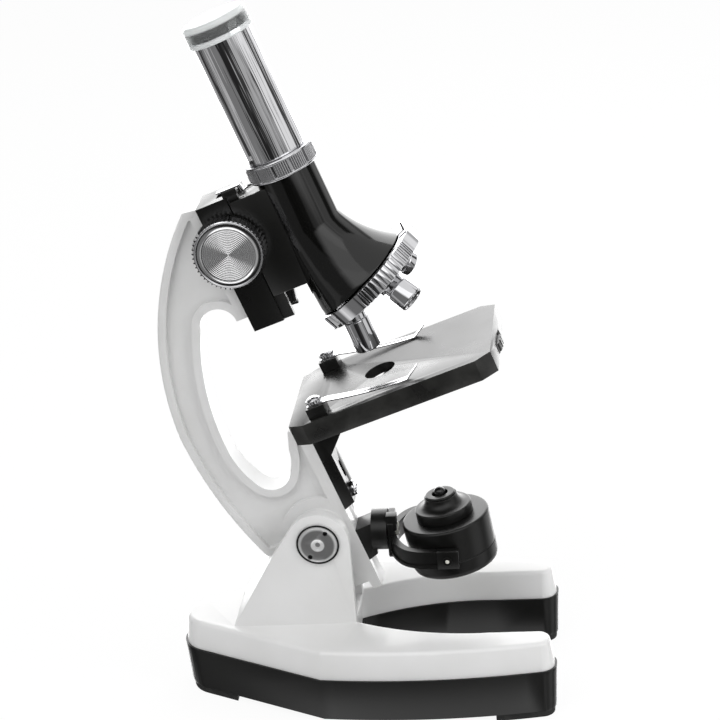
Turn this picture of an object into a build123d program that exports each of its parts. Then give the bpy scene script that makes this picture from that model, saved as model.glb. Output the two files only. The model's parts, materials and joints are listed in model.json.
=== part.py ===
"""Tilting-arm student microscope: horseshoe base, cast arm, rack focus, triple turret, stage and lamp.

Frame: +X to the open end of the base, +Z up, origin on the table under the middle of the base.
The limb (arm, stage, tube) leans back about the base pivot.  Limb coordinates are (u, n): u runs
forward along the stage, n runs up along the optical axis, and both are zero at the pivot.
"""
import os
from math import acos, atan2, cos, degrees, pi, radians, sin, sqrt, tan
from build123d import *

os.makedirs("parts", exist_ok=True)

# ---------------------------------------------------------------- driving sizes, mm and degrees
GAP = 0.3                 # clearance round curved faces that move
SLIP = 0.05               # radial clearance of a shaft in its hole

BASE_HALF = 60.0          # half the length of the horseshoe
NOSE_R = 10.7             # rounded heel
FLANK_X, FLANK_Y = -13.0, 30.6    # corner between the straight flank and the leg side
SIDE_Y, SIDE_X = 32.4, 20.0       # widest place of the legs
LEG_OUT, LEG_IN = 28.2, 17.8      # outer and inner edge of the leg tips
NOTCH_X, NOTCH_Y = -3.2, 8.0      # corner of the notch beside the pylon
NOTCH_MID_X, NOTCH_MID_Y = 12.0, 14.4
NOTCH_RUN_X = 40.0        # here the inner leg edges turn parallel
FOOT_H = 0.6              # rubber pads
PLINTH_H = 16.0
PLINTH_DRAFT = 3.0
PLINTH_LIP = 0.6          # the tray stands this far outside the shell
TRAY_WALL = 2.2
SHELL_H = 9.3
SHELL_DRAFT = 8.0
SHELL_WALL = 2.2
POST_R = 3.2              # screw posts under the shell
HEEL_INSET, LEG_INSET = 15.0, 14.0    # screws from the heel and from the leg tips
LEG_POST_Y = 23.6
BASE_SCREW_R = 1.4

PIVOT_X, PIVOT_Z = -12.4, 54.6
TILT = 19.4               # lean of the limb at rest
PYLON_W = 23.0            # over both cheeks
CHEEK_T = 3.5
PYLON_R = 9.8             # round top of the cheeks
PYLON_KNEE = (-27.8, 49.6)
PYLON_FOOT_X = -42.0
REAR_WALL_T = 2.4
REAR_WALL_TOP = 46.0

PIVOT_BOLT_R = 3.0
DISC_R = 7.0
DISC_T = 1.6

ARM_T = 9.0               # thickness of the cast arm
BOSS_R = 8.8              # bosses of the arm between the cheeks
FRONT_U = 10.7            # flat front face of the arm
RIM = 2.6                 # rim left round the sunk web
WEB_SINK = 1.8
TAIL_N = -24.2            # lower end of the front flange
PAD_TOP, PAD_BOTTOM = 112.2, 75.2

AXIS_U = 39.2             # optical axis in limb coordinates
STAGE_TOP = 42.6
STAGE_T = 6.6
STAGE_PLATE_T = 3.0
STAGE_SKIRT = 1.3
STAGE_U0, STAGE_U1 = 10.6, 76.8
STAGE_HALF = 22.4
STAGE_CHAMFER_U, STAGE_CHAMFER_Y = 4.9, 3.2
STAGE_HOLE_R = 5.0

WHEEL_R = 20.4
WHEEL_T = 2.6
WHEEL_U = 57.5            # pivot of the aperture wheel
WHEEL_PIN_R = 2.0

BRACKET_T = 3.9
BRACKET_W = 9.0
BRACKET_LOW = 4.6
GUSSET_U = 27.0
BRACKET_SCREW_N = 9.0

POST_U, POST_Y = 21.0, 18.3       # clip posts
POST_L, POST_W, POST_H = 5.9, 5.7, 3.6
CLIP_T = 0.5
CLIP_BEND_U = 50.4
CLIP_TIP_U = 54.6

HOUSING_U = 19.7          # front of the fixed housing, back of the cheeks
CHEEK_U = 25.0            # front of the dovetail cheeks
HOUSING_HALF = 7.0
HOUSING_LOW, HOUSING_TOP = 70.9, 112.8
DOVE_IN, DOVE_OUT = 4.9, 3.9      # half widths of the dovetail rail, inside and at its neck
SLIDE_GAP = 0.12
BLOCK_U = 25.4            # back of the moving block
BLOCK_HALF = 6.0
BLOCK_LOW, BLOCK_TOP = 79.2, 110.6

KNOB_U, KNOB_N = 15.8, 98.1
KNOB_R = 10.8
KNOB_T = 6.5
KNOB_GAP = 0.8
KNOB_TEETH = 60
SHAFT_R = 2.0
PINION_TEETH = 12
PINION_R = 3.6            # pitch radius
TOOTH_H = 0.5             # addendum
TOOTH_ROOT = 0.75         # dedendum

TUBE_R = 9.4              # black body tube
TUBE_TOP = 112.5
NOSE_START = 95.0         # the tube flares below this height
BORE_R = 7.6
COLLAR_R, COLLAR_H = 11.0, 5.8
BARREL_R = 9.25           # chrome eyepiece tube
BARREL_L = 43.7           # from the body tube's end to the eyepiece's shoulder
BARREL_NECK = 7.55
EYE_R, EYE_H = 8.9, 5.4
CAP_WALL = 0.9
CAP_OVER, CAP_H = 1.5, 6.2

APEX_N = 95.5             # the turret axis crosses the optical axis here
TURRET_LEAN = 23.0
TURRET_L = 23.0           # from the apex to the turret's top face
TURRET_R = 19.7
TURRET_T = 4.9
SEAT_RISE = 4.6           # the slanted seats stand this far below the ring
NOSE_R2 = 16.8            # foot of the flared nose
NOSE_SHIFT = 1.6
THREAD_R = 2.9
OBJECTIVE_R = 3.6
LONG_END, MID_END, SHORT_END = 44.8, 42.2, 38.4   # distances from the apex to the front lens

FORK_X = 8.9              # back of the lamp fork
FORK_T = 2.0
FORK_LOW, FORK_HIGH = 47.2, 53.5
FORK_OUT, FORK_IN = 17.0, 14.6
FORK_END = 31.6
HUB_Z, HUB_R = 53.2, 6.5
HUB_X = 3.8
LAMP_X, LAMP_Z = 28.3, 50.0
LAMP_LEAN = 8.9
LAMP_R = 13.9
LAMP_HIGH, LAMP_SEAM, LAMP_LOW = 7.9, -3.0, -9.0
LAMP_WALL = 1.6
LAMP_PIN_R = 1.5
BULB_R = 1.8

# ---------------------------------------------------------------- planes and small helpers
PLINTH_TOP = FOOT_H + PLINTH_H
SHELL_TOP = PLINTH_TOP + SHELL_H
BARREL_TOP = TUBE_TOP + BARREL_L
EYE_TOP = BARREL_TOP + EYE_H
CAP_TOP = EYE_TOP + CAP_OVER
CAP_R = EYE_R + CAP_WALL + GAP
lean = radians(TILT)
LIMB = Plane(origin=(PIVOT_X, 0, PIVOT_Z), x_dir=(cos(lean), 0, sin(lean)), z_dir=(-sin(lean), 0, cos(lean)))


def limb_point(u, n, y=0.0):
    """Point of the limb in the part's own frame."""
    return LIMB.from_local_coords(Vector(u, y, n))


def side(y=0.0):
    """Plane along the limb, seen from the near side: x is u, y is n."""
    return Plane(origin=limb_point(0, 0, y), x_dir=LIMB.x_dir, z_dir=(0, -1, 0))


def turning(u, n, tip=0.0):
    """Plane for a turned piece of the limb: x is its radius, y runs up its axis, tipped about Y."""
    angle = radians(TILT + tip)
    return Plane(origin=limb_point(u, n), x_dir=(cos(angle), 0, sin(angle)), z_dir=(0, -1, 0))


def turned(plane, points):
    """Piece of revolution about the plane's y axis."""
    with BuildPart() as body:
        with BuildSketch(plane):
            with BuildLine():
                Polyline(*points, close=True)
            make_face()
        revolve(axis=Axis(plane.origin, plane.y_dir))
    return body.part


def ring(plane, outer, inner, low, high):
    """Plain ring or, with inner 0, a plain disc."""
    return turned(plane, [(inner, low), (outer, low), (outer, high), (inner, high)])


def save(part, name):
    """Labels a finished piece and writes its STEP file."""
    part.label = name
    export_step(part, f"parts/{name}.step")


# ---------------------------------------------------------------- base
def horseshoe(grow):
    """Outline of the base seen from above, grown or shrunk by an offset."""
    nose_x = -BASE_HALF + NOSE_R
    flank = atan2(FLANK_Y, FLANK_X - nose_x) + acos(NOSE_R / sqrt(FLANK_Y**2 + (FLANK_X - nose_x) ** 2))
    touch = (nose_x + NOSE_R * cos(flank), NOSE_R * sin(flank))
    with BuildSketch() as plan:
        with BuildLine() as half:
            ThreePointArc((-BASE_HALF, 0), (nose_x - NOSE_R * cos(0.9), NOSE_R * sin(0.9)), touch)
            Line(touch, (FLANK_X, FLANK_Y))
            ThreePointArc((FLANK_X, FLANK_Y), (SIDE_X, SIDE_Y), (BASE_HALF, LEG_OUT))
            Line((BASE_HALF, LEG_OUT), (BASE_HALF, LEG_IN))
            Line((BASE_HALF, LEG_IN), (NOTCH_RUN_X, LEG_IN))
            ThreePointArc((NOTCH_RUN_X, LEG_IN), (NOTCH_MID_X, NOTCH_MID_Y), (NOTCH_X, NOTCH_Y))
            Line((NOTCH_X, NOTCH_Y), (NOTCH_X, 0))
            mirror(about=Plane.XZ)
        make_face()
        if grow:
            offset(amount=grow, kind=Kind.INTERSECTION)
        corners = plan.vertices()
        fillet(corners.filter_by(lambda v: v.X > BASE_HALF + grow - 1), max(4.9 + grow, 1.5))
        fillet(corners.filter_by(lambda v: abs(v.X - FLANK_X) < 4 and abs(v.Y) > 20), 45)
        notch_corners = corners.filter_by(lambda v: abs(v.X - NOTCH_X) < 4 and 1 < abs(v.Y) < 16)
        fillet(notch_corners, max(2.6 - grow, 1.5))
        fillet(corners.filter_by(lambda v: abs(v.X - NOTCH_RUN_X) < 4 and abs(v.Y) < 24), 30)
    return plan.sketch


def drafted(low, height, grow_low, grow_high):
    """Block over the horseshoe outline whose walls lean between two offsets."""
    with BuildPart() as block:
        with BuildSketch(Plane.XY.offset(low)):
            add(horseshoe(grow_low))
        with BuildSketch(Plane.XY.offset(low + height)):
            add(horseshoe(grow_high))
        loft(ruled=True)
    return block.part


def post_places():
    """Screw places of the base."""
    leg_x = BASE_HALF - LEG_INSET
    return [(HEEL_INSET - BASE_HALF, 0), (leg_x, LEG_POST_Y), (leg_x, -LEG_POST_Y)]


shell_lean = tan(radians(SHELL_DRAFT))
shell_outside = drafted(PLINTH_TOP, SHELL_H, 0, -SHELL_H * shell_lean)
shell_room = SHELL_H - SHELL_WALL
shell_inside = drafted(PLINTH_TOP, shell_room, -SHELL_WALL, -SHELL_WALL - shell_room * shell_lean)
with BuildPart() as base_shell:
    add(shell_outside)
    fillet(base_shell.edges().group_by(Axis.Z)[-1], 1.6)
    add(shell_inside, mode=Mode.SUBTRACT)
    # screw posts reach down to the floor of the tray
    with BuildSketch(Plane.XY.offset(FOOT_H + TRAY_WALL)):
        with Locations(*post_places()):
            Circle(POST_R)
    extrude(amount=SHELL_TOP - SHELL_WALL / 2 - FOOT_H - TRAY_WALL)
    with BuildSketch(Plane.XY.offset(FOOT_H + TRAY_WALL)):
        with Locations(*post_places()):
            Circle(BASE_SCREW_R + SLIP)
    extrude(amount=12, mode=Mode.SUBTRACT)
    # pylon: two cheeks and a rear wall, open at the front
    knee = Vector(*PYLON_KNEE)
    reach = sqrt((knee.X - PIVOT_X) ** 2 + (knee.Y - PIVOT_Z) ** 2)
    tangent = atan2(knee.Y - PIVOT_Z, knee.X - PIVOT_X) - acos(PYLON_R / reach) + 2 * pi
    crown = (PIVOT_X + PYLON_R * cos(tangent), PIVOT_Z + PYLON_R * sin(tangent))
    with BuildSketch(Plane.XZ):
        with BuildLine():
            Line((PIVOT_X + PYLON_R, SHELL_TOP - SHELL_WALL), (PIVOT_X + PYLON_R, PIVOT_Z))
            ThreePointArc((PIVOT_X + PYLON_R, PIVOT_Z), (PIVOT_X, PIVOT_Z + PYLON_R), crown)
            Polyline(
                crown,
                PYLON_KNEE,
                (PYLON_FOOT_X, SHELL_TOP),
                (PYLON_FOOT_X, SHELL_TOP - SHELL_WALL),
                (PIVOT_X + PYLON_R, SHELL_TOP - SHELL_WALL),
            )
        make_face()
    extrude(amount=PYLON_W / 2, both=True)
    with BuildSketch(Plane.XZ):
        with BuildLine():
            Polyline(
                (PYLON_FOOT_X + 1.2 * REAR_WALL_T, SHELL_TOP),
                (PIVOT_X + 2 * PYLON_R, SHELL_TOP),
                (PIVOT_X + 2 * PYLON_R, PIVOT_Z + 2 * PYLON_R),
                (PYLON_FOOT_X, PIVOT_Z + 2 * PYLON_R),
                (PYLON_FOOT_X, REAR_WALL_TOP),
                (knee.X + 1.2 * REAR_WALL_T - 2.2, REAR_WALL_TOP),
                close=True,
            )
        make_face()
    extrude(amount=PYLON_W / 2 - CHEEK_T, both=True, mode=Mode.SUBTRACT)
    with BuildSketch(Plane.XZ):
        with Locations((PIVOT_X, PIVOT_Z)):
            Circle(PIVOT_BOLT_R + SLIP)
    extrude(amount=PYLON_W, both=True, mode=Mode.SUBTRACT)
save(base_shell.part, "base_shell")

tray_lean = tan(radians(PLINTH_DRAFT))
tray_low = PLINTH_LIP - PLINTH_H * tray_lean
tray_outside = drafted(FOOT_H, PLINTH_H, tray_low, PLINTH_LIP)
tray_inside = drafted(FOOT_H + TRAY_WALL, PLINTH_H - TRAY_WALL, tray_low - TRAY_WALL, PLINTH_LIP - TRAY_WALL)
with BuildPart() as base_plinth:
    add(tray_outside)
    add(tray_inside, mode=Mode.SUBTRACT)
    with BuildSketch(Plane.XY.offset(FOOT_H)):
        with Locations(*post_places()):
            Circle(BASE_SCREW_R + SLIP)
    extrude(amount=TRAY_WALL, mode=Mode.SUBTRACT)
    with BuildSketch(Plane.XY.offset(FOOT_H)):
        with Locations(*post_places()):
            Circle(2 * BASE_SCREW_R)
    extrude(amount=TRAY_WALL / 2, mode=Mode.SUBTRACT)
save(base_plinth.part, "base_plinth")

with BuildPart() as foot_pads:
    with BuildSketch() as pad_plan:
        add(horseshoe(tray_low - 0.5))
        with BuildSketch(mode=Mode.INTERSECT):
            with Locations((-BASE_HALF, 0)):
                Rectangle(2 * (HEEL_INSET + 2), BASE_HALF)
            with Locations((BASE_HALF, 0)):
                Rectangle(2 * (LEG_INSET + 5), 2 * BASE_HALF)
        with Locations(*post_places()):
            Circle(2 * BASE_SCREW_R + 0.3, mode=Mode.SUBTRACT)
    extrude(amount=FOOT_H)
save(foot_pads.part, "foot_pads")

with BuildPart() as base_screws:
    for place in post_places():
        with BuildSketch(Plane(origin=(place[0], place[1], FOOT_H + 0.15))):
            Circle(2 * BASE_SCREW_R - 0.15)
        extrude(amount=TRAY_WALL / 2 - 0.15)
        with BuildSketch(Plane(origin=(place[0], place[1], FOOT_H + 0.15))):
            Circle(BASE_SCREW_R)
        extrude(amount=11)
save(base_screws.part, "base_screws")

# pivot bolt and nut: discs with two spanner holes and a turned dimple
PIVOT = Plane(origin=(PIVOT_X, 0, PIVOT_Z), x_dir=(1, 0, 0), z_dir=(0, 0, 1))
face_y = PYLON_W / 2
SPANNER_R, SPANNER_PITCH, SPANNER_ANGLE = 0.75, 4.8, 56.0


def spanner_disc(sign, bolt_length):
    """Disc against one cheek; the near one carries the bolt."""
    edge = face_y * sign
    out = (face_y + DISC_T) * sign
    step = (face_y + 0.6 * DISC_T) * sign
    inside = edge - bolt_length * sign if bolt_length else edge + 0.3 * sign
    radius = PIVOT_BOLT_R if bolt_length else PIVOT_BOLT_R + SLIP
    outline = [
        (0, out - 0.9 * sign),
        (2.2, out),
        (DISC_R - 1.3, out),
        (DISC_R - 1.3, step),
        (DISC_R, step),
        (DISC_R, edge),
        (radius, edge),
        (radius, inside),
        (0, inside),
    ]
    with BuildPart() as disc:
        with BuildSketch(PIVOT):
            with BuildLine():
                Polyline(*outline, close=True)
            make_face()
        revolve(axis=Axis(PIVOT.origin, (0, 1, 0)))
        with BuildSketch(Plane(origin=(PIVOT_X, out, PIVOT_Z), x_dir=(1, 0, 0), z_dir=(0, -1, 0))):
            with PolarLocations(SPANNER_PITCH, 2, SPANNER_ANGLE):
                Circle(SPANNER_R)
        extrude(amount=sign * 0.9, mode=Mode.SUBTRACT)
    return disc.part


save(spanner_disc(-1, PYLON_W), "pivot_bolt")
save(spanner_disc(1, 0), "pivot_nut")

WASHER_T = 0.5
washer_in = PYLON_W / 2 - CHEEK_T - WASHER_T
with BuildPart() as pivot_washers:
    for sign in (-1, 1):
        with BuildSketch(Plane.XZ.offset(-sign * washer_in)):
            with Locations((PIVOT_X, PIVOT_Z)):
                Circle(BOSS_R - 1)
                Circle(PIVOT_BOLT_R + SLIP, mode=Mode.SUBTRACT)
        extrude(amount=-sign * WASHER_T)
save(pivot_washers.part, "pivot_washers")

# ---------------------------------------------------------------- arm casting
BOSS_HALF = washer_in - 0.05
ARM_SEAT_N = STAGE_TOP - STAGE_T - 0.3


def arm_blank():
    """Side view of the arm without its window, in limb coordinates."""
    with BuildSketch() as blank:
        with BuildLine():
            # pad, front face, tail, relief over the rear wall of the pylon
            Polyline(
                (5.6, PAD_TOP + 0.6),
                (FRONT_U, PAD_TOP),
                (FRONT_U, TAIL_N),
                (FRONT_U - 3.0, TAIL_N),
                (FRONT_U - 3.4, TAIL_N + 2.8),
                (0.5, TAIL_N + 2.8),
                (-11.0, -6.6),
                (-13.4, -2.9),
                (-19.6, -1.0),
            )
            ThreePointArc((-19.6, -1.0), (-25.7, 22.5), (-27.5, 46.0))
            ThreePointArc((-27.5, 46.0), (-18.6, 80.2), (5.6, PAD_TOP + 0.6))
        make_face()
    return blank.sketch


def arm_window():
    """Opening between the spine and the stage, open to the front under the pad."""
    with BuildSketch() as window:
        with BuildLine():
            Line((FRONT_U + 9, PAD_BOTTOM), (6.2, PAD_BOTTOM))
            ThreePointArc((6.2, PAD_BOTTOM), (0.9, 81.4), (-5.4, 77.0))
            ThreePointArc((-5.4, 77.0), (-12.9, 56.6), (-15.1, 38.0))
            ThreePointArc((-15.1, 38.0), (-14.1, 29.5), (-11.6, 23.2))
            ThreePointArc((-11.6, 23.2), (-5.8, 19.1), (0.1, 23.0))
            ThreePointArc((0.1, 23.0), (2.1, 26.8), (2.9, 30.0))
            Polyline((2.9, 30.0), (5.0, ARM_SEAT_N), (FRONT_U + 9, ARM_SEAT_N), (FRONT_U + 9, PAD_BOTTOM))
        make_face()
    return window.sketch


with BuildSketch() as web_blank:
    add(arm_blank())
    offset(amount=-RIM)
with BuildSketch() as web_window:
    add(arm_window())
    offset(amount=RIM)
with BuildSketch() as web:
    add(web_blank.sketch)
    add(web_window.sketch, mode=Mode.SUBTRACT)
    with Locations((FRONT_U - 3.6 + 20, 40)):
        Rectangle(40, 200, mode=Mode.SUBTRACT)
    Circle(12.4, mode=Mode.SUBTRACT)
    with Locations((0, -20)):
        Rectangle(60, 42, mode=Mode.SUBTRACT)
web_outline = web.sketch

with BuildPart() as arm:
    with BuildSketch(side()):
        add(arm_blank())
        add(arm_window(), mode=Mode.SUBTRACT)
    extrude(amount=ARM_T / 2, both=True)
    rims = arm.edges().filter_by(GeomType.CIRCLE).filter_by(lambda e: abs(e.center().Y) > 1 and e.length > 44)
    fillet(rims, 0.7)
    # sunk web on both faces, clear of the pad, the front flange and the pivot boss
    for sign in (-1, 1):
        with BuildSketch(side(sign * (ARM_T / 2 - WEB_SINK))):
            add(web_outline)
        extrude(amount=-sign * WEB_SINK, mode=Mode.SUBTRACT)
    with BuildSketch(side()):
        Circle(BOSS_R)
    extrude(amount=BOSS_HALF, both=True)
    with BuildSketch(side()):
        Circle(PIVOT_BOLT_R + SLIP)
    extrude(amount=ARM_T, both=True, mode=Mode.SUBTRACT)
    # screw holes: bracket, housing and lamp stem
    face = Plane(origin=limb_point(FRONT_U, 0), x_dir=(0, 1, 0), z_dir=LIMB.x_dir)
    with BuildSketch(face):
        with Locations((0, BRACKET_SCREW_N), (0, PAD_BOTTOM + 6), (0, PAD_TOP - 6), (0, -10)):
            Circle(1.25)
    extrude(amount=-6, mode=Mode.SUBTRACT)
save(arm.part, "arm")

# ---------------------------------------------------------------- stage and its bracket
def stage_plan(inset):
    """Stage seen along the optical axis: a rectangle with clipped corners."""
    with BuildSketch() as plan:
        with BuildLine():
            u0, u1, half = STAGE_U0 + inset, STAGE_U1 - inset, STAGE_HALF - inset
            low = half - STAGE_CHAMFER_Y
            Polyline(
                (u0, -low),
                (u0 + STAGE_CHAMFER_U, -half),
                (u1 - STAGE_CHAMFER_U, -half),
                (u1, -low),
                (u1, low),
                (u1 - STAGE_CHAMFER_U, half),
                (u0 + STAGE_CHAMFER_U, half),
                (u0, low),
                close=True,
            )
        make_face()
    return plan.sketch


stage_under = STAGE_TOP - STAGE_T
plate_under = STAGE_TOP - STAGE_PLATE_T
with BuildPart() as stage:
    with BuildSketch(LIMB.offset(stage_under)):
        add(stage_plan(0))
    extrude(amount=STAGE_T)
    with BuildSketch(LIMB.offset(stage_under)):
        add(stage_plan(STAGE_SKIRT))
        with Locations((STAGE_U0, 0)):
            Rectangle(2 * (POST_U + POST_L - STAGE_U0), 60, mode=Mode.SUBTRACT)
    extrude(amount=STAGE_T - STAGE_PLATE_T, mode=Mode.SUBTRACT)
    with BuildSketch(LIMB.offset(stage_under)):
        with Locations((WHEEL_U, 0)):
            Circle(WHEEL_R + GAP)
    extrude(amount=WHEEL_T + 0.6, mode=Mode.SUBTRACT)
    with BuildSketch(LIMB.offset(stage_under)):
        with Locations((AXIS_U, 0)):
            Circle(STAGE_HOLE_R)
    extrude(amount=STAGE_T, mode=Mode.SUBTRACT)
    with BuildSketch(LIMB.offset(stage_under)):
        with Locations((WHEEL_U, 0)):
            Circle(WHEEL_PIN_R)
    extrude(amount=STAGE_T - 1.5, mode=Mode.SUBTRACT)
    with BuildSketch(LIMB.offset(STAGE_TOP)):
        with Locations((POST_U, POST_Y), (POST_U, -POST_Y)):
            Circle(1.0 + SLIP)
    extrude(amount=-4, mode=Mode.SUBTRACT)
save(stage.part, "stage")

with BuildPart() as stage_bracket:
    with BuildSketch(side()):
        with BuildLine():
            Polyline(
                (FRONT_U, BRACKET_LOW),
                (FRONT_U + BRACKET_T, BRACKET_LOW + 1.4),
                (FRONT_U + BRACKET_T, 23.5),
                (GUSSET_U, stage_under),
                (FRONT_U, stage_under),
                close=True,
            )
        make_face()
    extrude(amount=BRACKET_W / 2, both=True)
    bracket_face = Plane(origin=limb_point(FRONT_U + BRACKET_T, 0), x_dir=(0, 1, 0), z_dir=LIMB.x_dir)
    with BuildSketch(bracket_face):
        with Locations((0, BRACKET_SCREW_N)):
            Circle(1.25 + SLIP)
        with Locations((0, BRACKET_SCREW_N + 7.5)):
            SlotCenterToCenter(3.6, 2.2, rotation=90)
    extrude(amount=-BRACKET_T, mode=Mode.SUBTRACT)
save(stage_bracket.part, "stage_bracket")


def pan_screw(plane, head_r, head_h, shank_r, shank_l, slots=2):
    """Round-headed screw standing on its plane's origin, head up, with a cross recess."""
    with BuildPart() as screw:
        with BuildSketch(plane):
            Circle(head_r)
        extrude(amount=head_h)
        rims = screw.edges().filter_by(GeomType.CIRCLE)
        fillet(rims.sort_by(lambda e: plane.to_local_coords(e.center()).Z)[-1], 0.45 * head_h)
        with BuildSketch(plane):
            Circle(shank_r)
        extrude(amount=-shank_l)
        with BuildSketch(plane.offset(head_h)):
            for turn in range(slots):
                Rectangle(1.5 * head_r, 0.28 * head_r, rotation=90 * turn)
        extrude(amount=-0.45 * head_h, mode=Mode.SUBTRACT)
    return screw.part


def facing(u, n, y=0.0):
    """Plane on the limb that looks forward along u."""
    return Plane(origin=limb_point(u, n, y), x_dir=(0, 1, 0), z_dir=LIMB.x_dir)


save(pan_screw(facing(FRONT_U + BRACKET_T, BRACKET_SCREW_N), 2.6, 1.4, 1.2, BRACKET_T + 5), "bracket_screw")

# aperture wheel under the stage, its rim reaches past the front end
WHEEL_LOW = stage_under + 0.2
WHEEL_HOLE_AT = WHEEL_U - AXIS_U
APERTURES = (0.4, 0.7, 1.0, 1.3, 1.6)
with BuildPart() as aperture_wheel:
    with BuildSketch(LIMB.offset(WHEEL_LOW)):
        with Locations((WHEEL_U, 0)):
            Circle(WHEEL_R)
            Circle(WHEEL_PIN_R + SLIP, mode=Mode.SUBTRACT)
            with PolarLocations(WHEEL_R + 0.25, 48):
                Circle(0.55, mode=Mode.SUBTRACT)
        for step, radius in enumerate(APERTURES):
            turn = radians(180 + 72 * step)
            with Locations((WHEEL_U + WHEEL_HOLE_AT * cos(turn), WHEEL_HOLE_AT * sin(turn))):
                Circle(radius, mode=Mode.SUBTRACT)
    extrude(amount=WHEEL_T)
save(aperture_wheel.part, "aperture_wheel")

save(
    turned(
        Plane(origin=limb_point(WHEEL_U, WHEEL_LOW), x_dir=LIMB.x_dir, z_dir=(0, -1, 0)),
        [
            (0, -1.2),
            (3.6, -1.2),
            (3.6, -0.2),
            (WHEEL_PIN_R - SLIP, -0.2),
            (WHEEL_PIN_R - SLIP, 4.7),
            (0, 4.7),
        ],
    ),
    "wheel_pin",
)

# clips: post, spring leaf and knurled screw on each side
for name, sign in (("near", -1), ("far", 1)):
    with BuildPart() as post:
        with BuildSketch(LIMB.offset(STAGE_TOP)):
            with Locations((POST_U, sign * POST_Y)):
                Rectangle(POST_L, POST_W)
                Circle(1.0 + SLIP, mode=Mode.SUBTRACT)
        extrude(amount=POST_H)
    save(post.part, f"clip_post_{name}")
    leaf_low = STAGE_TOP + POST_H + 0.1
    bend_low = STAGE_TOP + 0.35
    with BuildPart() as clip:
        with BuildSketch(side(sign * POST_Y - 3.2)):
            with BuildLine():
                Polyline(
                    (POST_U - 2.6, leaf_low),
                    (POST_U + 3.4, leaf_low),
                    (CLIP_BEND_U, bend_low),
                    (CLIP_TIP_U, bend_low + 3.0),
                    (CLIP_TIP_U - 0.4, bend_low + 3.0 + CLIP_T),
                    (CLIP_BEND_U - 0.2, bend_low + CLIP_T),
                    (POST_U + 3.5, leaf_low + CLIP_T),
                    (POST_U - 2.6, leaf_low + CLIP_T),
                    close=True,
                )
            make_face()
        extrude(amount=-6.4)
        # the leaf tapers towards its tip and has a slot before the bend
        with BuildSketch(LIMB.offset(STAGE_TOP)):
            with BuildLine():
                inner = sign * (POST_Y - 1.7)
                Polyline(
                    (POST_U - 2.6, sign * (POST_Y + 2.6)),
                    (POST_U - 2.6, sign * (POST_Y - 2.6)),
                    (POST_U + 4, sign * (POST_Y - 2.6)),
                    (CLIP_TIP_U, inner - sign * 1.3),
                    (CLIP_TIP_U, inner + sign * 1.3),
                    (POST_U + 4, sign * (POST_Y + 2.6)),
                    close=True,
                )
            make_face()
            with Locations((POST_U, sign * POST_Y)):
                Circle(1.0 + SLIP, mode=Mode.SUBTRACT)
            with Locations((CLIP_BEND_U - 5, sign * (POST_Y - 1.5))):
                Rectangle(7, 1.1, mode=Mode.SUBTRACT)
        extrude(amount=POST_H + 4, mode=Mode.INTERSECT)
    save(clip.part, f"clip_{name}")
    with BuildPart() as clip_screw:
        with BuildSketch(LIMB.offset(leaf_low + CLIP_T + 0.1)):
            with Locations((POST_U, sign * POST_Y)):
                Circle(2.7)
                with PolarLocations(2.75, 20):
                    Circle(0.22, mode=Mode.SUBTRACT)
        extrude(amount=1.9)
        with BuildSketch(LIMB.offset(STAGE_TOP - 3.5)):
            with Locations((POST_U, sign * POST_Y)):
                Circle(1.0)
        extrude(amount=leaf_low + CLIP_T + 0.2 - STAGE_TOP + 3.5)
    save(clip_screw.part, f"clip_screw_{name}")

# ---------------------------------------------------------------- focus housing, slide, rack and knobs
def dovetail(grow):
    """Cross-section of the rail in (u, y), wider at the back than at its neck."""
    with BuildSketch() as rail:
        with BuildLine():
            back, neck = HOUSING_U + 0.3 - grow, BLOCK_U
            wide = DOVE_IN + grow
            narrow = DOVE_OUT + grow
            Polyline((back, -wide), (neck, -narrow), (neck, narrow), (back, wide), close=True)
        make_face()
    return rail.sketch


RACK_LINE = KNOB_U + PINION_R        # pitch line of the rack in u
with BuildPart() as focus_housing:
    with BuildSketch(LIMB.offset(HOUSING_LOW)):
        with Locations(((FRONT_U + CHEEK_U) / 2, 0)):
            Rectangle(CHEEK_U - FRONT_U, 2 * HOUSING_HALF)
    extrude(amount=HOUSING_TOP - HOUSING_LOW)
    with BuildSketch(LIMB.offset(HOUSING_LOW - 1)):
        add(dovetail(SLIDE_GAP))
        with Locations((RACK_LINE, 0)):
            Rectangle(5, 6.4)
    extrude(amount=HOUSING_TOP - HOUSING_LOW + 2, mode=Mode.SUBTRACT)
    # chamber and bearing for the pinion
    with BuildSketch(side()):
        with Locations((KNOB_U, KNOB_N)):
            Circle(PINION_R + TOOTH_H + 0.5)
    extrude(amount=3.2, both=True, mode=Mode.SUBTRACT)
    with BuildSketch(side()):
        with Locations((KNOB_U, KNOB_N)):
            Circle(SHAFT_R + SLIP)
    extrude(amount=HOUSING_HALF + 1, both=True, mode=Mode.SUBTRACT)
    with BuildSketch(facing(RACK_LINE, 0)):
        with Locations((0, PAD_BOTTOM + 6), (0, PAD_TOP - 6)):
            Circle(1.25)
    extrude(amount=-12, mode=Mode.SUBTRACT)
    with BuildSketch(facing(RACK_LINE, 0)):
        with Locations((0, PAD_BOTTOM + 6), (0, PAD_TOP - 6)):
            Circle(2.5)
    extrude(amount=-6, mode=Mode.SUBTRACT)
    # lug for the stop spring
    with BuildSketch(LIMB.offset(HOUSING_TOP)):
        with Locations((22.2, -5.0)):
            Rectangle(4.6, 3.4)
    extrude(amount=1.7)
save(focus_housing.part, "focus_housing")

HOUSING_SCREW_U = RACK_LINE - 6
with BuildPart() as housing_screws:
    for n in (PAD_BOTTOM + 6, PAD_TOP - 6):
        with BuildSketch(facing(HOUSING_SCREW_U, n)):
            Circle(2.3)
        extrude(amount=1.6)
        with BuildSketch(facing(HOUSING_SCREW_U, n)):
            Circle(1.2)
        extrude(amount=-7)
save(housing_screws.part, "housing_screws")

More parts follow.
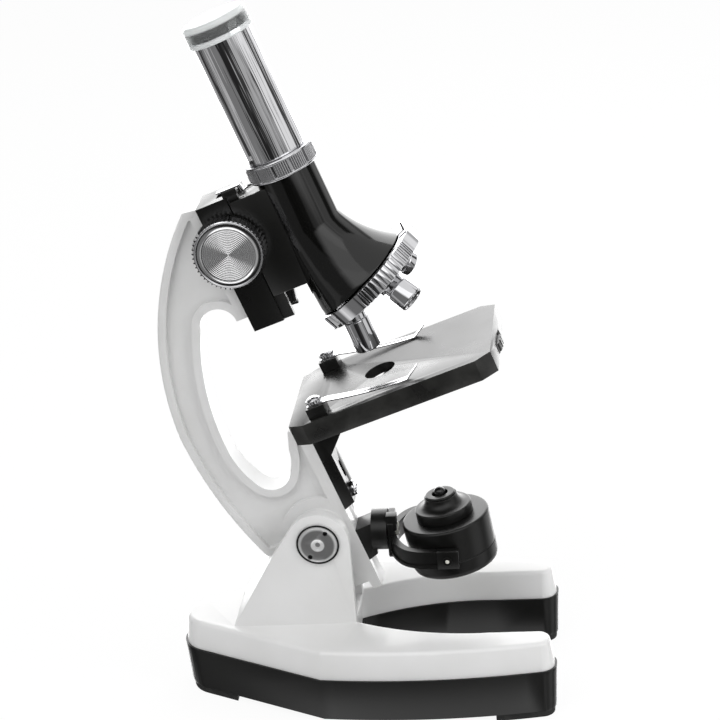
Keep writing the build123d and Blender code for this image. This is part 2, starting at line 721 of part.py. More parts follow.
with BuildPart() as stop_spring:
    spring_n = HOUSING_TOP + 1.7
    with BuildSketch(side(-6.2)):
        with BuildLine():
            Polyline(
                (18.4, spring_n),
                (25.6, spring_n),
                (26.0, HOUSING_TOP - 0.6),
                (28.0, HOUSING_TOP + 0.3),
                (28.0, HOUSING_TOP + 0.8),
                (26.6, HOUSING_TOP + 0.2),
                (26.1, spring_n + 0.5),
                (18.4, spring_n + 0.5),
                close=True,
            )
        make_face()
    extrude(amount=-2.4)
save(stop_spring.part, "stop_spring")

# outside of the body tube and its flared nose; the slide block is saddled to it
SPINDLE = turning(AXIS_U, 0)          # optical axis
apex = limb_point(AXIS_U, APEX_N)
TURRET = turning(AXIS_U, APEX_N, TURRET_LEAN)     # its y axis runs up the turret axis
nose_foot = TURRET_L - 0.3
foot = Plane(
    origin=apex - TURRET.y_dir * nose_foot - TURRET.x_dir * NOSE_SHIFT, x_dir=TURRET.x_dir, z_dir=TURRET.y_dir
)
with BuildPart() as nose:
    with BuildSketch(LIMB.offset(NOSE_START)):
        with Locations((AXIS_U, 0)):
            Circle(TUBE_R)
    extrude(amount=TUBE_TOP - NOSE_START)
    with BuildSketch(LIMB.offset(NOSE_START)):
        with Locations((AXIS_U, 0)):
            Circle(TUBE_R)
    mid = turning(AXIS_U + 2.6, 85.0, 12.0)
    with BuildSketch(Plane(origin=mid.origin, x_dir=mid.x_dir, z_dir=mid.y_dir)):
        Circle(11.9)
    with BuildSketch(foot):
        Circle(NOSE_R2)
    loft()

with BuildPart() as slide_block:
    with BuildSketch(LIMB.offset(BLOCK_LOW)):
        add(dovetail(0))
        with Locations(((BLOCK_U + AXIS_U) / 2, 0)):
            Rectangle(AXIS_U - BLOCK_U, 2 * BLOCK_HALF)
        with Locations((RACK_LINE, 0)):
            Rectangle(2 * (HOUSING_U + 2.4 - RACK_LINE), 3.2, mode=Mode.SUBTRACT)
    extrude(amount=BLOCK_TOP - BLOCK_LOW)
    add(nose.part, mode=Mode.SUBTRACT)
    # guide tongue below the block
    with BuildSketch(LIMB.offset(BLOCK_LOW)):
        with Locations((26.4, 0)):
            Rectangle(0.8, 6)
    extrude(amount=-5.4)
save(slide_block.part, "slide_block")

PITCH = 2 * pi * PINION_R / PINION_TEETH
tooth_shift = (TOOTH_ROOT - TOOTH_H) / 2
rack_back = HOUSING_U + 2.4
with BuildPart() as focus_rack:
    rack_low, rack_high = BLOCK_LOW + 1, BLOCK_TOP - 1
    with BuildSketch(side()):
        root = RACK_LINE + TOOTH_ROOT - 0.1
        with Locations(((root + rack_back) / 2, (rack_low + rack_high) / 2)):
            Rectangle(rack_back - root, rack_high - rack_low)
        # a gap of the rack faces a pinion tooth at rest
        count = int((rack_high - rack_low) / PITCH / 2)
        for step in range(-count - 2, count + 2):
            n = KNOB_N + (step + 0.5) * PITCH
            if rack_low + PITCH / 2 < n < rack_high - PITCH / 2:
                with Locations((RACK_LINE + tooth_shift, n)):
                    Trapezoid(PITCH * 0.56, TOOTH_H + TOOTH_ROOT, 76, rotation=90)
    extrude(amount=1.6, both=True)
save(focus_rack.part, "focus_rack")

KNOB_AXIS = Plane(origin=limb_point(KNOB_U, KNOB_N), x_dir=LIMB.x_dir, z_dir=LIMB.z_dir)
shaft_half = HOUSING_HALF + KNOB_GAP + KNOB_T - 2
with BuildPart() as focus_shaft:
    with BuildSketch(side()):
        with Locations((KNOB_U, KNOB_N)):
            Circle(SHAFT_R)
    extrude(amount=shaft_half, both=True)
    with BuildSketch(side()):
        with Locations((KNOB_U, KNOB_N)):
            Circle(PINION_R - TOOTH_ROOT + 0.1)
            with PolarLocations(PINION_R - tooth_shift, PINION_TEETH):
                Trapezoid(PITCH * 0.56, TOOTH_H + TOOTH_ROOT, 76, rotation=-90)
    extrude(amount=1.6, both=True)
save(focus_shaft.part, "focus_shaft")

for name, sign in (("near", -1), ("far", 1)):
    y_in = sign * (HOUSING_HALF + KNOB_GAP)
    y_out = y_in + sign * KNOB_T
    with BuildPart() as knob:
        # saw-tooth rim
        with BuildSketch(side(y_in)):
            with BuildLine():
                teeth = []
                for step in range(KNOB_TEETH):
                    turn = 2 * pi * step / KNOB_TEETH
                    back = turn + 1.6 * pi / KNOB_TEETH
                    teeth.append((KNOB_U + KNOB_R * cos(turn), KNOB_N + KNOB_R * sin(turn)))
                    teeth.append((KNOB_U + (KNOB_R - 0.6) * cos(back), KNOB_N + (KNOB_R - 0.6) * sin(back)))
                Polyline(*teeth, close=True)
            make_face()
        extrude(amount=-sign * (KNOB_T - 0.9))
        with BuildSketch(side(y_out - sign * 0.9)):
            with Locations((KNOB_U, KNOB_N)):
                Circle(KNOB_R - 0.5)
        extrude(amount=-sign * 0.9, taper=38)
        with BuildSketch(side(y_out)):
            with Locations((KNOB_U, KNOB_N)):
                Circle(KNOB_R - 2.2)
        extrude(amount=sign * 1.2, mode=Mode.SUBTRACT)
        with BuildSketch(side(y_in)):
            with Locations((KNOB_U, KNOB_N)):
                Circle(SHAFT_R + 0.02)
        extrude(amount=-sign * (KNOB_T - 1.9), mode=Mode.SUBTRACT)
    save(knob.part, f"knob_{name}")
    save(
        turned(
            KNOB_AXIS,
            [
                (0, y_out - sign * 1.2),
                (KNOB_R - 2.3, y_out - sign * 1.2),
                (KNOB_R - 2.3, y_out - sign * 0.5),
                (KNOB_R - 2.9, y_out - sign * 0.1),
                (0.6, y_out + sign * 0.05),
                (0, y_out - sign * 0.15),
            ],
        ),
        f"knob_plate_{name}",
    )

# ---------------------------------------------------------------- body tube, eyepiece and turret
with BuildPart() as head_tube:
    add(nose.part)
    with BuildSketch(LIMB.offset(TUBE_TOP)):
        with Locations((AXIS_U, 0)):
            Circle(BORE_R)
    extrude(amount=-(TUBE_TOP - NOSE_START), mode=Mode.SUBTRACT)
    with BuildSketch(LIMB.offset(NOSE_START + 1)):
        with Locations((AXIS_U, 0)):
            Circle(4.6)
    extrude(amount=-40, mode=Mode.SUBTRACT)
    with BuildSketch(foot):
        with Locations((NOSE_SHIFT, 0)):
            Circle(1.6 + SLIP)
    extrude(amount=7, mode=Mode.SUBTRACT)
save(head_tube.part, "head_tube")

# click stop at the front of the nose: a lug and the spring leaf that drops into the turret's notches
STOP_AT = NOSE_R2 - NOSE_SHIFT
with BuildPart() as click_spring:
    with BuildSketch(TURRET):
        with BuildLine():
            Polyline(
                (STOP_AT + 0.1, -nose_foot + 0.5),
                (STOP_AT + 2.6, -nose_foot + 0.5),
                (STOP_AT + 3.6, -nose_foot + 2.6),
                (STOP_AT + 4.2, -nose_foot + 2.6),
                (STOP_AT + 3.2, -nose_foot + 0.1),
                (STOP_AT + 0.1, -nose_foot + 0.1),
                close=True,
            )
        make_face()
    extrude(amount=1.4, both=True)
save(click_spring.part, "click_spring")

with BuildPart() as tube_collar:
    add(ring(SPINDLE, COLLAR_R, BORE_R, TUBE_TOP + 0.05, TUBE_TOP + COLLAR_H))
    with BuildSketch(LIMB.offset(TUBE_TOP + 0.05)):
        with Locations((AXIS_U, 0)):
            with PolarLocations(COLLAR_R + 0.1, 72):
                Circle(0.3)
    extrude(amount=COLLAR_H, mode=Mode.SUBTRACT)
save(tube_collar.part, "tube_collar")

barrel_low = TUBE_TOP + COLLAR_H + 0.05
save(
    turned(
        SPINDLE,
        [
            (6.3, TUBE_TOP - 9),
            (BARREL_NECK, TUBE_TOP - 9),
            (BARREL_NECK, barrel_low),
            (BARREL_R, barrel_low),
            (BARREL_R, BARREL_TOP),
            (7.8, BARREL_TOP),
            (7.8, BARREL_TOP - 26),
            (6.3, BARREL_TOP - 26),
        ],
    ),
    "eyepiece_tube",
)
save(
    turned(
        SPINDLE,
        [
            (6.6, BARREL_TOP - 24),
            (7.75, BARREL_TOP - 24),
            (7.75, BARREL_TOP + 0.02),
            (EYE_R, BARREL_TOP + 0.02),
            (EYE_R, EYE_TOP - 1),
            (EYE_R - 1, EYE_TOP),
            (5.6, EYE_TOP),
            (5.0, EYE_TOP - 1.8),
            (5.0, EYE_TOP - 4),
            (6.6, EYE_TOP - 4),
        ],
    ),
    "eyepiece",
)
save(
    turned(
        SPINDLE,
        [
            (0, EYE_TOP - 5.6),
            (3.6, EYE_TOP - 5.2),
            (6.5, EYE_TOP - 5.2),
            (6.5, EYE_TOP - 4.05),
            (4, EYE_TOP - 4.05),
            (0, EYE_TOP - 3.2),
        ],
    ),
    "eye_lens",
)
save(
    turned(
        SPINDLE,
        [
            (0, CAP_TOP - CAP_WALL),
            (CAP_R - CAP_WALL - 0.6, CAP_TOP - CAP_WALL),
            (CAP_R - CAP_WALL, CAP_TOP - CAP_WALL - 0.6),
            (CAP_R - CAP_WALL, CAP_TOP - CAP_H),
            (CAP_R, CAP_TOP - CAP_H),
            (CAP_R, CAP_TOP - 0.9),
            (CAP_R - 0.9, CAP_TOP),
            (0, CAP_TOP),
        ],
    ),
    "eyepiece_cap",
)

# turret: knurled ring with three slanted seats for the objectives
TURRET_AXIS = Axis(apex, TURRET.y_dir)


def objective_plane(index):
    """Plane of one objective: origin at the apex, y axis up its own optical axis."""
    spun = Vector(*SPINDLE.y_dir).rotate(Axis((0, 0, 0), TURRET.y_dir), 120 * index)
    across = Vector(*SPINDLE.x_dir).rotate(Axis((0, 0, 0), TURRET.y_dir), 120 * index)
    return Plane(origin=apex, x_dir=across, z_dir=across.cross(spun))


def turret_disc_plane(distance):
    """Plane across the turret axis at a distance below the apex."""
    return Plane(origin=apex - TURRET.y_dir * distance, x_dir=TURRET.x_dir, z_dir=TURRET.y_dir)


def seat_disc_plane(seat, distance):
    """Plane across one objective's axis at a distance below the apex."""
    return Plane(origin=seat.origin - seat.y_dir * distance, x_dir=seat.x_dir, z_dir=seat.y_dir)


seats = [objective_plane(index) for index in range(3)]
TURRET_LOW = TURRET_L + TURRET_T
with BuildPart() as turret:
    with BuildSketch(turret_disc_plane(TURRET_LOW)):
        Circle(TURRET_R - 0.5)
        # three groups of ribs round the rim, plain between them
        for group in range(3):
            for rib in range(-6, 7):
                with PolarLocations(TURRET_R - 0.6, 1, 60 + 120 * group + 5.4 * rib):
                    Rectangle(1.2, 1.1)
    extrude(amount=TURRET_T)
    with BuildSketch(turret_disc_plane(TURRET_LOW)):
        Circle(TURRET_R - 5.9)
    extrude(amount=-1.2, taper=30)
    for seat in seats:
        with BuildSketch(seat_disc_plane(seat, TURRET_LOW + SEAT_RISE)):
            Circle(OBJECTIVE_R + 0.9)
        extrude(amount=SEAT_RISE)
    for seat in seats:
        with BuildSketch(seat_disc_plane(seat, TURRET_LOW + 8)):
            Circle(THREAD_R + SLIP)
        extrude(amount=15, mode=Mode.SUBTRACT)
    with BuildSketch(turret_disc_plane(TURRET_LOW + 4)):
        Circle(1.6 + SLIP)
    extrude(amount=12, mode=Mode.SUBTRACT)
save(turret.part, "turret")

screw_low = TURRET_LOW + 1.2
save(
    turned(
        TURRET,
        [
            (0, -screw_low - 1.7),
            (2.6, -screw_low - 1.7),
            (3.2, -screw_low - 1.1),
            (3.2, -screw_low - GAP / 2),
            (1.6, -screw_low - GAP / 2),
            (1.6, -nose_foot + 6),
            (0, -nose_foot + 6),
        ],
    ),
    "turret_screw",
)

SEAT_END = TURRET_LOW + SEAT_RISE
for index, (name, end) in enumerate((("long", LONG_END), ("mid", MID_END), ("short", SHORT_END))):
    body_r = OBJECTIVE_R if name == "long" else OBJECTIVE_R + 0.2
    shoulder = SEAT_END + 2.2
    outline = [
        (2.2, -SEAT_END + 3),
        (THREAD_R, -SEAT_END + 3),
        (THREAD_R, -SEAT_END - 0.02),
        (OBJECTIVE_R + 0.7, -SEAT_END - 0.02),
        (OBJECTIVE_R + 0.7, -shoulder + 0.3),
        (OBJECTIVE_R - 0.1, -shoulder),
        (OBJECTIVE_R - 0.1, -shoulder - 0.8),
        (body_r, -shoulder - 1.0),
        (body_r, -end + 0.9),
        (body_r - 0.7, -end),
        (1.7, -end),
        (1.7, -end + 0.8),
        (2.2, -end + 0.8),
    ]
    save(turned(seats[index], outline), f"objective_{name}")
with BuildPart() as objective_lenses:
    for seat, end in zip(seats, (LONG_END, MID_END, SHORT_END)):
        add(turned(seat, [(0, -end + 2), (2.18, -end + 2), (2.18, -end + 0.82), (0, -end + 0.82)]))
save(objective_lenses.part, "objective_lenses")

# ---------------------------------------------------------------- lamp with its stem, fork and mirror
HUB = Plane(origin=(HUB_X, 0, HUB_Z), x_dir=(0, 1, 0), z_dir=(1, 0, 0))
with BuildPart() as lamp_stem:
    with BuildSketch(HUB):
        Circle(HUB_R)
    extrude(amount=FORK_X - 0.15 - HUB_X)
    # neck back to the front face of the arm
    with BuildSketch(side()):
        with BuildLine():
            foot_top = LIMB.to_local_coords(Vector(HUB_X, 0, HUB_Z + 4))
            foot_low = LIMB.to_local_coords(Vector(HUB_X + 1.5, 0, HUB_Z - HUB_R))
            Polyline(
                (FRONT_U, -3.2),
                (foot_top.X, foot_top.Z),
                (foot_top.X + 1, foot_top.Z - 1),
                (foot_low.X, foot_low.Z),
                (FRONT_U, -14.4),
                close=True,
            )
        make_face()
    extrude(amount=BRACKET_W / 2, both=True)
    with BuildSketch(HUB.offset(FORK_X - HUB_X)):
        Circle(1.5 + SLIP)
    extrude(amount=-6, mode=Mode.SUBTRACT)
save(lamp_stem.part, "lamp_stem")

with BuildPart() as lamp_fork:
    with BuildSketch(Plane.XY.offset(FORK_LOW)):
        with Locations(((FORK_X + FORK_END) / 2, 0)):
            Rectangle(FORK_END - FORK_X, 2 * FORK_OUT)
        with Locations(((FORK_X + FORK_T + FORK_END) / 2 + 1, 0)):
            Rectangle(FORK_END - FORK_X - FORK_T + 2, 2 * FORK_IN, mode=Mode.SUBTRACT)
    extrude(amount=FORK_HIGH - FORK_LOW)
    inner = lamp_fork.edges().filter_by(Axis.Z).filter_by(lambda e: abs(e.center().X - FORK_X - FORK_T) < 0.1)
    fillet(inner, 7.0)
    fillet(lamp_fork.edges().filter_by(Axis.Z).group_by(Axis.X)[0], 9.0)
    # round ear against the stem's hub and bosses at the pins
    with BuildSketch(HUB.offset(FORK_X - HUB_X)):
        Circle(HUB_R)
    extrude(amount=FORK_T)
    with BuildSketch(Plane.XZ) as boss:
        with Locations((LAMP_X, LAMP_Z + 0.2)):
            Rectangle(2 * (FORK_END - LAMP_X), FORK_HIGH - FORK_LOW + 0.6)
    extrude(amount=FORK_OUT + 0.6, both=True)
    with BuildSketch(Plane.XZ):
        with Locations((LAMP_X, LAMP_Z + 0.2)):
            Rectangle(4 * (FORK_END - LAMP_X), 20)
    extrude(amount=FORK_IN, both=True, mode=Mode.SUBTRACT)
    with BuildSketch(Plane.XZ):
        with Locations((LAMP_X, LAMP_Z)):
            Circle(LAMP_PIN_R + SLIP)
    extrude(amount=FORK_OUT + 2, both=True, mode=Mode.SUBTRACT)
    with BuildSketch(HUB.offset(FORK_X - HUB_X)):
        Circle(1.5 + SLIP)
    extrude(amount=FORK_T, mode=Mode.SUBTRACT)
save(lamp_fork.part, "lamp_fork")

fork_screw_plane = Plane(origin=(FORK_X + FORK_T + 0.05, 0, HUB_Z), x_dir=(0, 1, 0), z_dir=(1, 0, 0))
save(pan_screw(fork_screw_plane, 2.3, 1.2, 1.5, FORK_T + 5.2, slots=1), "fork_screw")

LAMP = Plane(
    origin=(LAMP_X, 0, LAMP_Z),
    x_dir=(cos(radians(LAMP_LEAN)), 0, sin(radians(LAMP_LEAN))),
    z_dir=(0, -1, 0),
)


lamp_in = LAMP_R - LAMP_WALL
with BuildPart() as lamp_body:
    add(
        turned(
            LAMP,
            [
                (5.3, LAMP_HIGH - LAMP_WALL),
                (lamp_in, LAMP_HIGH - LAMP_WALL),
                (lamp_in, LAMP_SEAM),
                (LAMP_R, LAMP_SEAM),
                (LAMP_R, LAMP_HIGH - 0.5),
                (LAMP_R - 0.5, LAMP_HIGH),
                (5.3, LAMP_HIGH),
            ],
        )
    )
    with BuildSketch(LAMP):
        Circle(LAMP_PIN_R)
    extrude(amount=LAMP_R + 1, both=True, mode=Mode.SUBTRACT)
save(lamp_body.part, "lamp_body")

with BuildPart() as lamp_lid:
    add(
        turned(
            LAMP,
            [
                (0, LAMP_LOW + 1.0),
                (11.2, LAMP_LOW + 1.0),
                (11.2, LAMP_LOW),
                (LAMP_R - 2.0, LAMP_LOW),
                (LAMP_R - 0.5, LAMP_LOW + 0.7),
                (LAMP_R, LAMP_LOW + 2.0),
                (LAMP_R, LAMP_SEAM - 0.05),
                (lamp_in, LAMP_SEAM - 0.05),
                (lamp_in, LAMP_LOW + 3),
                (0, LAMP_LOW + 3),
            ],
        )
    )
save(lamp_lid.part, "lamp_lid")

save(ring(LAMP, 11.1, 0, LAMP_LOW + 0.1, LAMP_LOW + 0.98), "mirror")
RING_TOP = LAMP_HIGH + 3.1
HUB_TOP = LAMP_HIGH + 6.1
save(
    turned(
        LAMP,
        [
            (6.2, LAMP_HIGH + 0.02),
            (8.4, LAMP_HIGH + 0.02),
            (8.4, RING_TOP - 0.5),
            (8.1, RING_TOP),
            (7.4, RING_TOP),
            (6.2, LAMP_HIGH + 1.2),
        ],
    ),
    "lamp_ring",
)
save(
    turned(
        LAMP,
        [
            (2.1, LAMP_HIGH - LAMP_WALL - 1),
            (5.25, LAMP_HIGH - LAMP_WALL - 1),
            (5.25, LAMP_HIGH + 0.1),
            (5.6, LAMP_HIGH + 0.1),
            (5.6, LAMP_HIGH + 1.0),
            (5.1, LAMP_HIGH + 1.4),
            (5.1, HUB_TOP - 0.3),
            (4.8, HUB_TOP),
            (2.1, HUB_TOP),
        ],
    ),
    "lamp_socket",
)
with BuildPart() as bulb:
    with BuildSketch(LAMP):
        with BuildLine():
            flange = HUB_TOP + 0.1
            dome = HUB_TOP + 0.5
            Polyline((0, 3.5), (1.6, 3.5), (1.6, flange), (2.4, flange), (2.4, dome), (BULB_R, dome))
            ThreePointArc((BULB_R, dome), (BULB_R * cos(pi / 4), dome + BULB_R * sin(pi / 4)), (0, dome + BULB_R))
            Line((0, dome + BULB_R), (0, 3.5))
        make_face()
    revolve(axis=Axis(LAMP.origin, LAMP.y_dir))
save(bulb.part, "bulb")

with BuildPart() as lamp_cells:
    for low in (LAMP_LOW + 3.05, LAMP_LOW + 6.3):
        add(turned(LAMP, [(0, low), (10.0, low), (10.0, low + 2.6), (9.2, low + 3.2), (0, low + 3.2)]))
save(lamp_cells.part, "lamp_cells")

with BuildPart() as lamp_pins:
    for sign in (-1, 1):
        with BuildSketch(Plane.XZ.offset(sign * (lamp_in + 0.4))):
            with Locations((LAMP_X, LAMP_Z)):
                Circle(LAMP_PIN_R - 0.02)
        extrude(amount=sign * (FORK_OUT + 0.9 - lamp_in - 0.4))
save(lamp_pins.part, "lamp_pins")
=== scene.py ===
"""Student microscope on a horseshoe base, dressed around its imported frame.

Lengths in the classes are millimetres.  The limb (arm, stage, body tube) leans back about the base
pivot, so its pieces are placed in limb coordinates: u forward along the stage, y across, n up along
the optical axis, all from the pivot.
"""

from __future__ import annotations

import json
import logging
import math
from dataclasses import dataclass
from enum import Enum
from typing import Any, Callable, Iterable, Sequence

import bmesh
import bpy
from mathutils import Matrix, Vector

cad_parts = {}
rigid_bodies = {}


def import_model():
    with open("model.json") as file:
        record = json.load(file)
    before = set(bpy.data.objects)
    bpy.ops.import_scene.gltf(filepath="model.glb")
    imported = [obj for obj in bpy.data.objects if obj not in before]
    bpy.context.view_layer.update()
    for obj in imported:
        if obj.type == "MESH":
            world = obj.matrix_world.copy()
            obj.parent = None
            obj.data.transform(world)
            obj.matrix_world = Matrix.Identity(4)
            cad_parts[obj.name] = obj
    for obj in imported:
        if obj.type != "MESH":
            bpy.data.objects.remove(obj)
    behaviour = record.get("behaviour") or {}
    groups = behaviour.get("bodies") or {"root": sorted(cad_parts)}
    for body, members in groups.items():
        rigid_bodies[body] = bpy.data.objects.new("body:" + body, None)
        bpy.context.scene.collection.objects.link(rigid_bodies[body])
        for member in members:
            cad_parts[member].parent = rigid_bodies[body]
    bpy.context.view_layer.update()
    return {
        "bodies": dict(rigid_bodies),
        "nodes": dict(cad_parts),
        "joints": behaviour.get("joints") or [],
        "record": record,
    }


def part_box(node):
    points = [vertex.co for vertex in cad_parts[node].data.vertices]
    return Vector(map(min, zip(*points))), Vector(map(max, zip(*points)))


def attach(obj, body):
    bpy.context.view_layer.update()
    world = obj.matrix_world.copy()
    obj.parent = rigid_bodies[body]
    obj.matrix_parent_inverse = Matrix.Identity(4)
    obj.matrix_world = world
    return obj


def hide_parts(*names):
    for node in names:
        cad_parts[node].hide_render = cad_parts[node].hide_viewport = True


LOG = logging.getLogger("microscope")
MM = 0.001
LAMP_LEAN = 8.9          # degrees the lamp's axis leans back at rest
WELD = 2e-6              # metres; vertices closer than this are one
SLIVER = 1e-6            # metres; edges shorter than this are dissolved
FLAT_ANGLE = 0.6         # degrees between faces that count as one plane
WAVE_RATE = 20.0         # radians that a wave texture of scale 1 runs over one unit
Profile = Sequence[tuple[float, float]]
Values = dict[Any, Any] | None


class Body(Enum):
    """Moving bodies of the instrument."""

    BASE = "base"
    LIMB = "limb"
    HEAD = "head"
    CAP = "cap"
    KNOB = "knob"
    NOSEPIECE = "nosepiece"
    NEAR_CLIP = "near_clip"
    FAR_CLIP = "far_clip"
    WHEEL = "wheel"
    FORK = "fork"
    LAMP = "lamp"


# ------------------------------------------------------------------------------ places
@dataclass(frozen=True)
class Axes:
    """A right-handed set of axes with its origin, in metres."""

    origin: Vector
    side: Vector
    up: Vector

    def at(self, along: float, across: float, height: float) -> Vector:
        """Point given in millimetres along the three axes.

        Args:
            along: distance along the side axis.
            across: distance along up x side.
            height: distance along the up axis.

        Returns:
            The point in the row frame, in metres.
        """
        third = self.up.cross(self.side)
        return self.origin + (self.side * along + third * across + self.up * height) * MM

    def moved(self, along: float, across: float, height: float) -> "Axes":
        """The same axes with their origin moved by millimetres."""
        return Axes(self.at(along, across, height), self.side, self.up)

    def matrix(self) -> Matrix:
        """Matrix from these axes to the row frame.

        Returns:
            Matrix that takes millimetres (x side, y across, z up) to metres.
        """
        third = self.up.cross(self.side)
        grid = Matrix((self.side * MM, third * MM, self.up * MM)).transposed().to_4x4()
        grid.translation = self.origin
        return grid


class Layout:
    """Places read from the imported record: pivots and axes of the joints."""

    def __init__(self, frame: dict[str, Any]) -> None:
        """Keeps the joints of the frame by name.
        """
        self.joints = {joint["name"]: joint for joint in frame["joints"]}
        up = Vector(self.joints["focus_slide"]["axis"]).normalized()
        pivot = Vector(self.joints["arm_tilt"]["pos_m"])
        self.limb = Axes(pivot, Vector((0, 1, 0)).cross(up), up)
        apex = Vector(self.joints["turret_spin"]["pos_m"])
        self.optical = Axes(apex, self.limb.side, up)
        lean = Vector(self.joints["turret_spin"]["axis"]).normalized()
        self.turret = Axes(apex, Vector((0, 1, 0)).cross(lean), lean)
        lamp = Vector(self.joints["lamp_tilt"]["pos_m"])
        rock = Matrix.Rotation(-math.radians(LAMP_LEAN), 3, "Y")
        self.lamp = Axes(lamp, rock @ Vector((1, 0, 0)), rock @ Vector((0, 0, 1)))
        self.knob = Vector(self.joints["knob_spin"]["pos_m"])
        self.hub = Vector(self.joints["fork_swivel"]["pos_m"])

    def objective(self, index: int) -> Axes:
        """Axes of one objective; its up axis is its own optical axis.

        Args:
            index: 0 for the one in use, then round the turret by 120 degrees.

        Returns:
            Axes at the apex where all three optical axes meet.
        """
        spin = Matrix.Rotation(math.radians(120 * index), 3, self.turret.up)
        return Axes(self.turret.origin, spin @ self.optical.side, spin @ self.optical.up)


# ------------------------------------------------------------------------------ colour and shaders
def linear(code: str) -> tuple[float, float, float, float]:
    """Turns an sRGB hex value into a linear colour.

    Args:
        code: six hex digits, with or without a leading #.

    Returns:
        Linear red, green, blue and alpha 1.
    """
    code = code.lstrip("#")
    parts = [int(code[i : i + 2], 16) / 255 for i in (0, 2, 4)]
    bent = [p / 12.92 if p <= 0.04045 else ((p + 0.055) / 1.055) ** 2.4 for p in parts]
    return bent[0], bent[1], bent[2], 1.0


def add_node(tree: bpy.types.NodeTree, kind: str, settings: Values = None, links: Values = None) -> Any:
    """Adds a node to a tree, sets its values and joins its inputs.

    Args:
        tree: tree that gets the node.
        kind: full node type.
        settings: property, or socket name or number, to value.
        links: input socket name or number to the output socket that feeds it.

    Returns:
        The new node.
    """
    node = tree.nodes.new(kind)
    for key, value in (settings or {}).items():
        if isinstance(key, str) and hasattr(node, key) and key not in node.inputs:
            setattr(node, key, value)
        else:
            node.inputs[key].default_value = value
    for key, source in (links or {}).items():
        tree.links.new(source, node.inputs[key])
    return node


class Shader:
    """A material's node tree with its Principled shader."""

    def __init__(self, name: str) -> None:
        """Makes an empty material with a Principled shader.

        Args:
            name: the material's name.
        """
        self.material = bpy.data.materials.new(name)
        self.material.use_nodes = True
        self.tree = self.material.node_tree
        self.tree.nodes.clear()
        self.output = self.tree.nodes.new("ShaderNodeOutputMaterial")
        self.surface = self.tree.nodes.new("ShaderNodeBsdfPrincipled")
        self.tree.links.new(self.surface.outputs[0], self.output.inputs["Surface"])

    def add(self, kind: str, settings: Values = None, links: Values = None) -> Any:
        """Adds a node as add_node() does; its type is given without the ShaderNode prefix."""
        return add_node(self.tree, "ShaderNode" + kind, settings, links)

    def set(self, **values: Any) -> None:
        """Sets plain values on the Principled shader; underscores stand for spaces."""
        for key, value in values.items():
            self.surface.inputs[key.replace("_", " ")].default_value = value

    def feed(self, name: str, source: Any) -> None:
        """Joins an output socket to the Principled shader's input of that name."""
        self.tree.links.new(source, self.surface.inputs[name])

    def place(self) -> Any:
        """Object coordinates in metres."""
        return self.add("TexCoord").outputs["Object"]

    def ramp(self, source: Any, stops: Sequence[tuple[float, Any]]) -> Any:
        """Colour ramp over a factor.

        Args:
            source: output socket that gives the factor.
            stops: position and colour of each stop, the first two kept in place.

        Returns:
            The ramp's colour output.
        """
        node = self.add("ValToRGB", links={"Fac": source})
        bar = node.color_ramp.elements
        for index, (where, colour) in enumerate(stops):
            stop = bar[index] if index < 2 else bar.new(where)
            stop.position = where
            stop.color = colour
        return node.outputs["Color"]


@dataclass(frozen=True)
class Finish:
    """A named finish; build() makes its material once."""

    name: str

    def shader(self) -> Shader:
        """Makes the node tree of this finish."""
        raise NotImplementedError

    def build(self) -> bpy.types.Material:
        """Makes the material, or returns the one already made."""
        found = bpy.data.materials.get(self.name)
        return found or self.shader().material


def grey(level: float) -> tuple[float, float, float, float]:
    """Linear grey of one level."""
    return level, level, level, 1.0


@dataclass(frozen=True)
class Moulded(Finish):
    """Injection-moulded ABS: even colour, very fine texture of the mould, dull or bright skin."""

    colour: str
    shade: str
    roughness: float = 0.4
    grain: float = 0.35      # mm, texture of the mould
    relief: float = 0.05
    coat: float = 0.0
    ior: float = 1.5

    def shader(self) -> Shader:
        """Colour drifts slightly over centimetres; the grain breaks the highlight.

        Returns:
            The material under way.
        """
        made = Shader(self.name)
        place = made.place()
        drift = made.add("TexNoise", {"Scale": 1 / (28 * MM), "Detail": 3.0}, {"Vector": place})
        colour = made.ramp(drift.outputs["Fac"], ((0.3, linear(self.shade)), (0.7, linear(self.colour))))
        made.feed("Base Color", colour)
        fine = made.add("TexNoise", {"Scale": 1 / (self.grain * MM), "Detail": 2.0}, {"Vector": place})
        polish = made.add(
            "MapRange",
            {
                "From Min": 0.2,
                "From Max": 0.8,
                "To Min": self.roughness * 0.85,
                "To Max": self.roughness * 1.15,
            },
            {"Value": drift.outputs["Fac"]},
        )
        made.feed("Roughness", polish.outputs["Result"])
        bump = made.add(
            "Bump", {"Strength": self.relief, "Distance": 0.1 * MM}, {"Height": fine.outputs["Fac"]}
        )
        made.feed("Normal", bump.outputs["Normal"])
        made.set(IOR=self.ior, Coat_Weight=self.coat, Coat_Roughness=0.08)
        return made


@dataclass(frozen=True)
class Enamel(Finish):
    """Stove enamel over a zinc casting: thick white coat with a soft orange peel."""

    colour: str = "#E0E0E0"
    shade: str = "#D8D8D7"

    def shader(self) -> Shader:
        """The orange peel is about 1.5 mm from crest to crest.

        Returns:
            The material under way.
        """
        made = Shader(self.name)
        place = made.place()
        drift = made.add("TexNoise", {"Scale": 1 / (22 * MM), "Detail": 4.0}, {"Vector": place})
        made.feed(
            "Base Color",
            made.ramp(drift.outputs["Fac"], ((0.3, linear(self.shade)), (0.65, linear(self.colour)))),
        )
        peel = made.add("TexNoise", {"Scale": 1 / (1.5 * MM), "Detail": 1.0}, {"Vector": place})
        bump = made.add("Bump", {"Strength": 0.10, "Distance": 0.12 * MM}, {"Height": peel.outputs["Fac"]})
        made.feed("Normal", bump.outputs["Normal"])
        made.set(Roughness=0.34, IOR=1.5, Coat_Weight=0.25, Coat_Roughness=0.12)
        return made


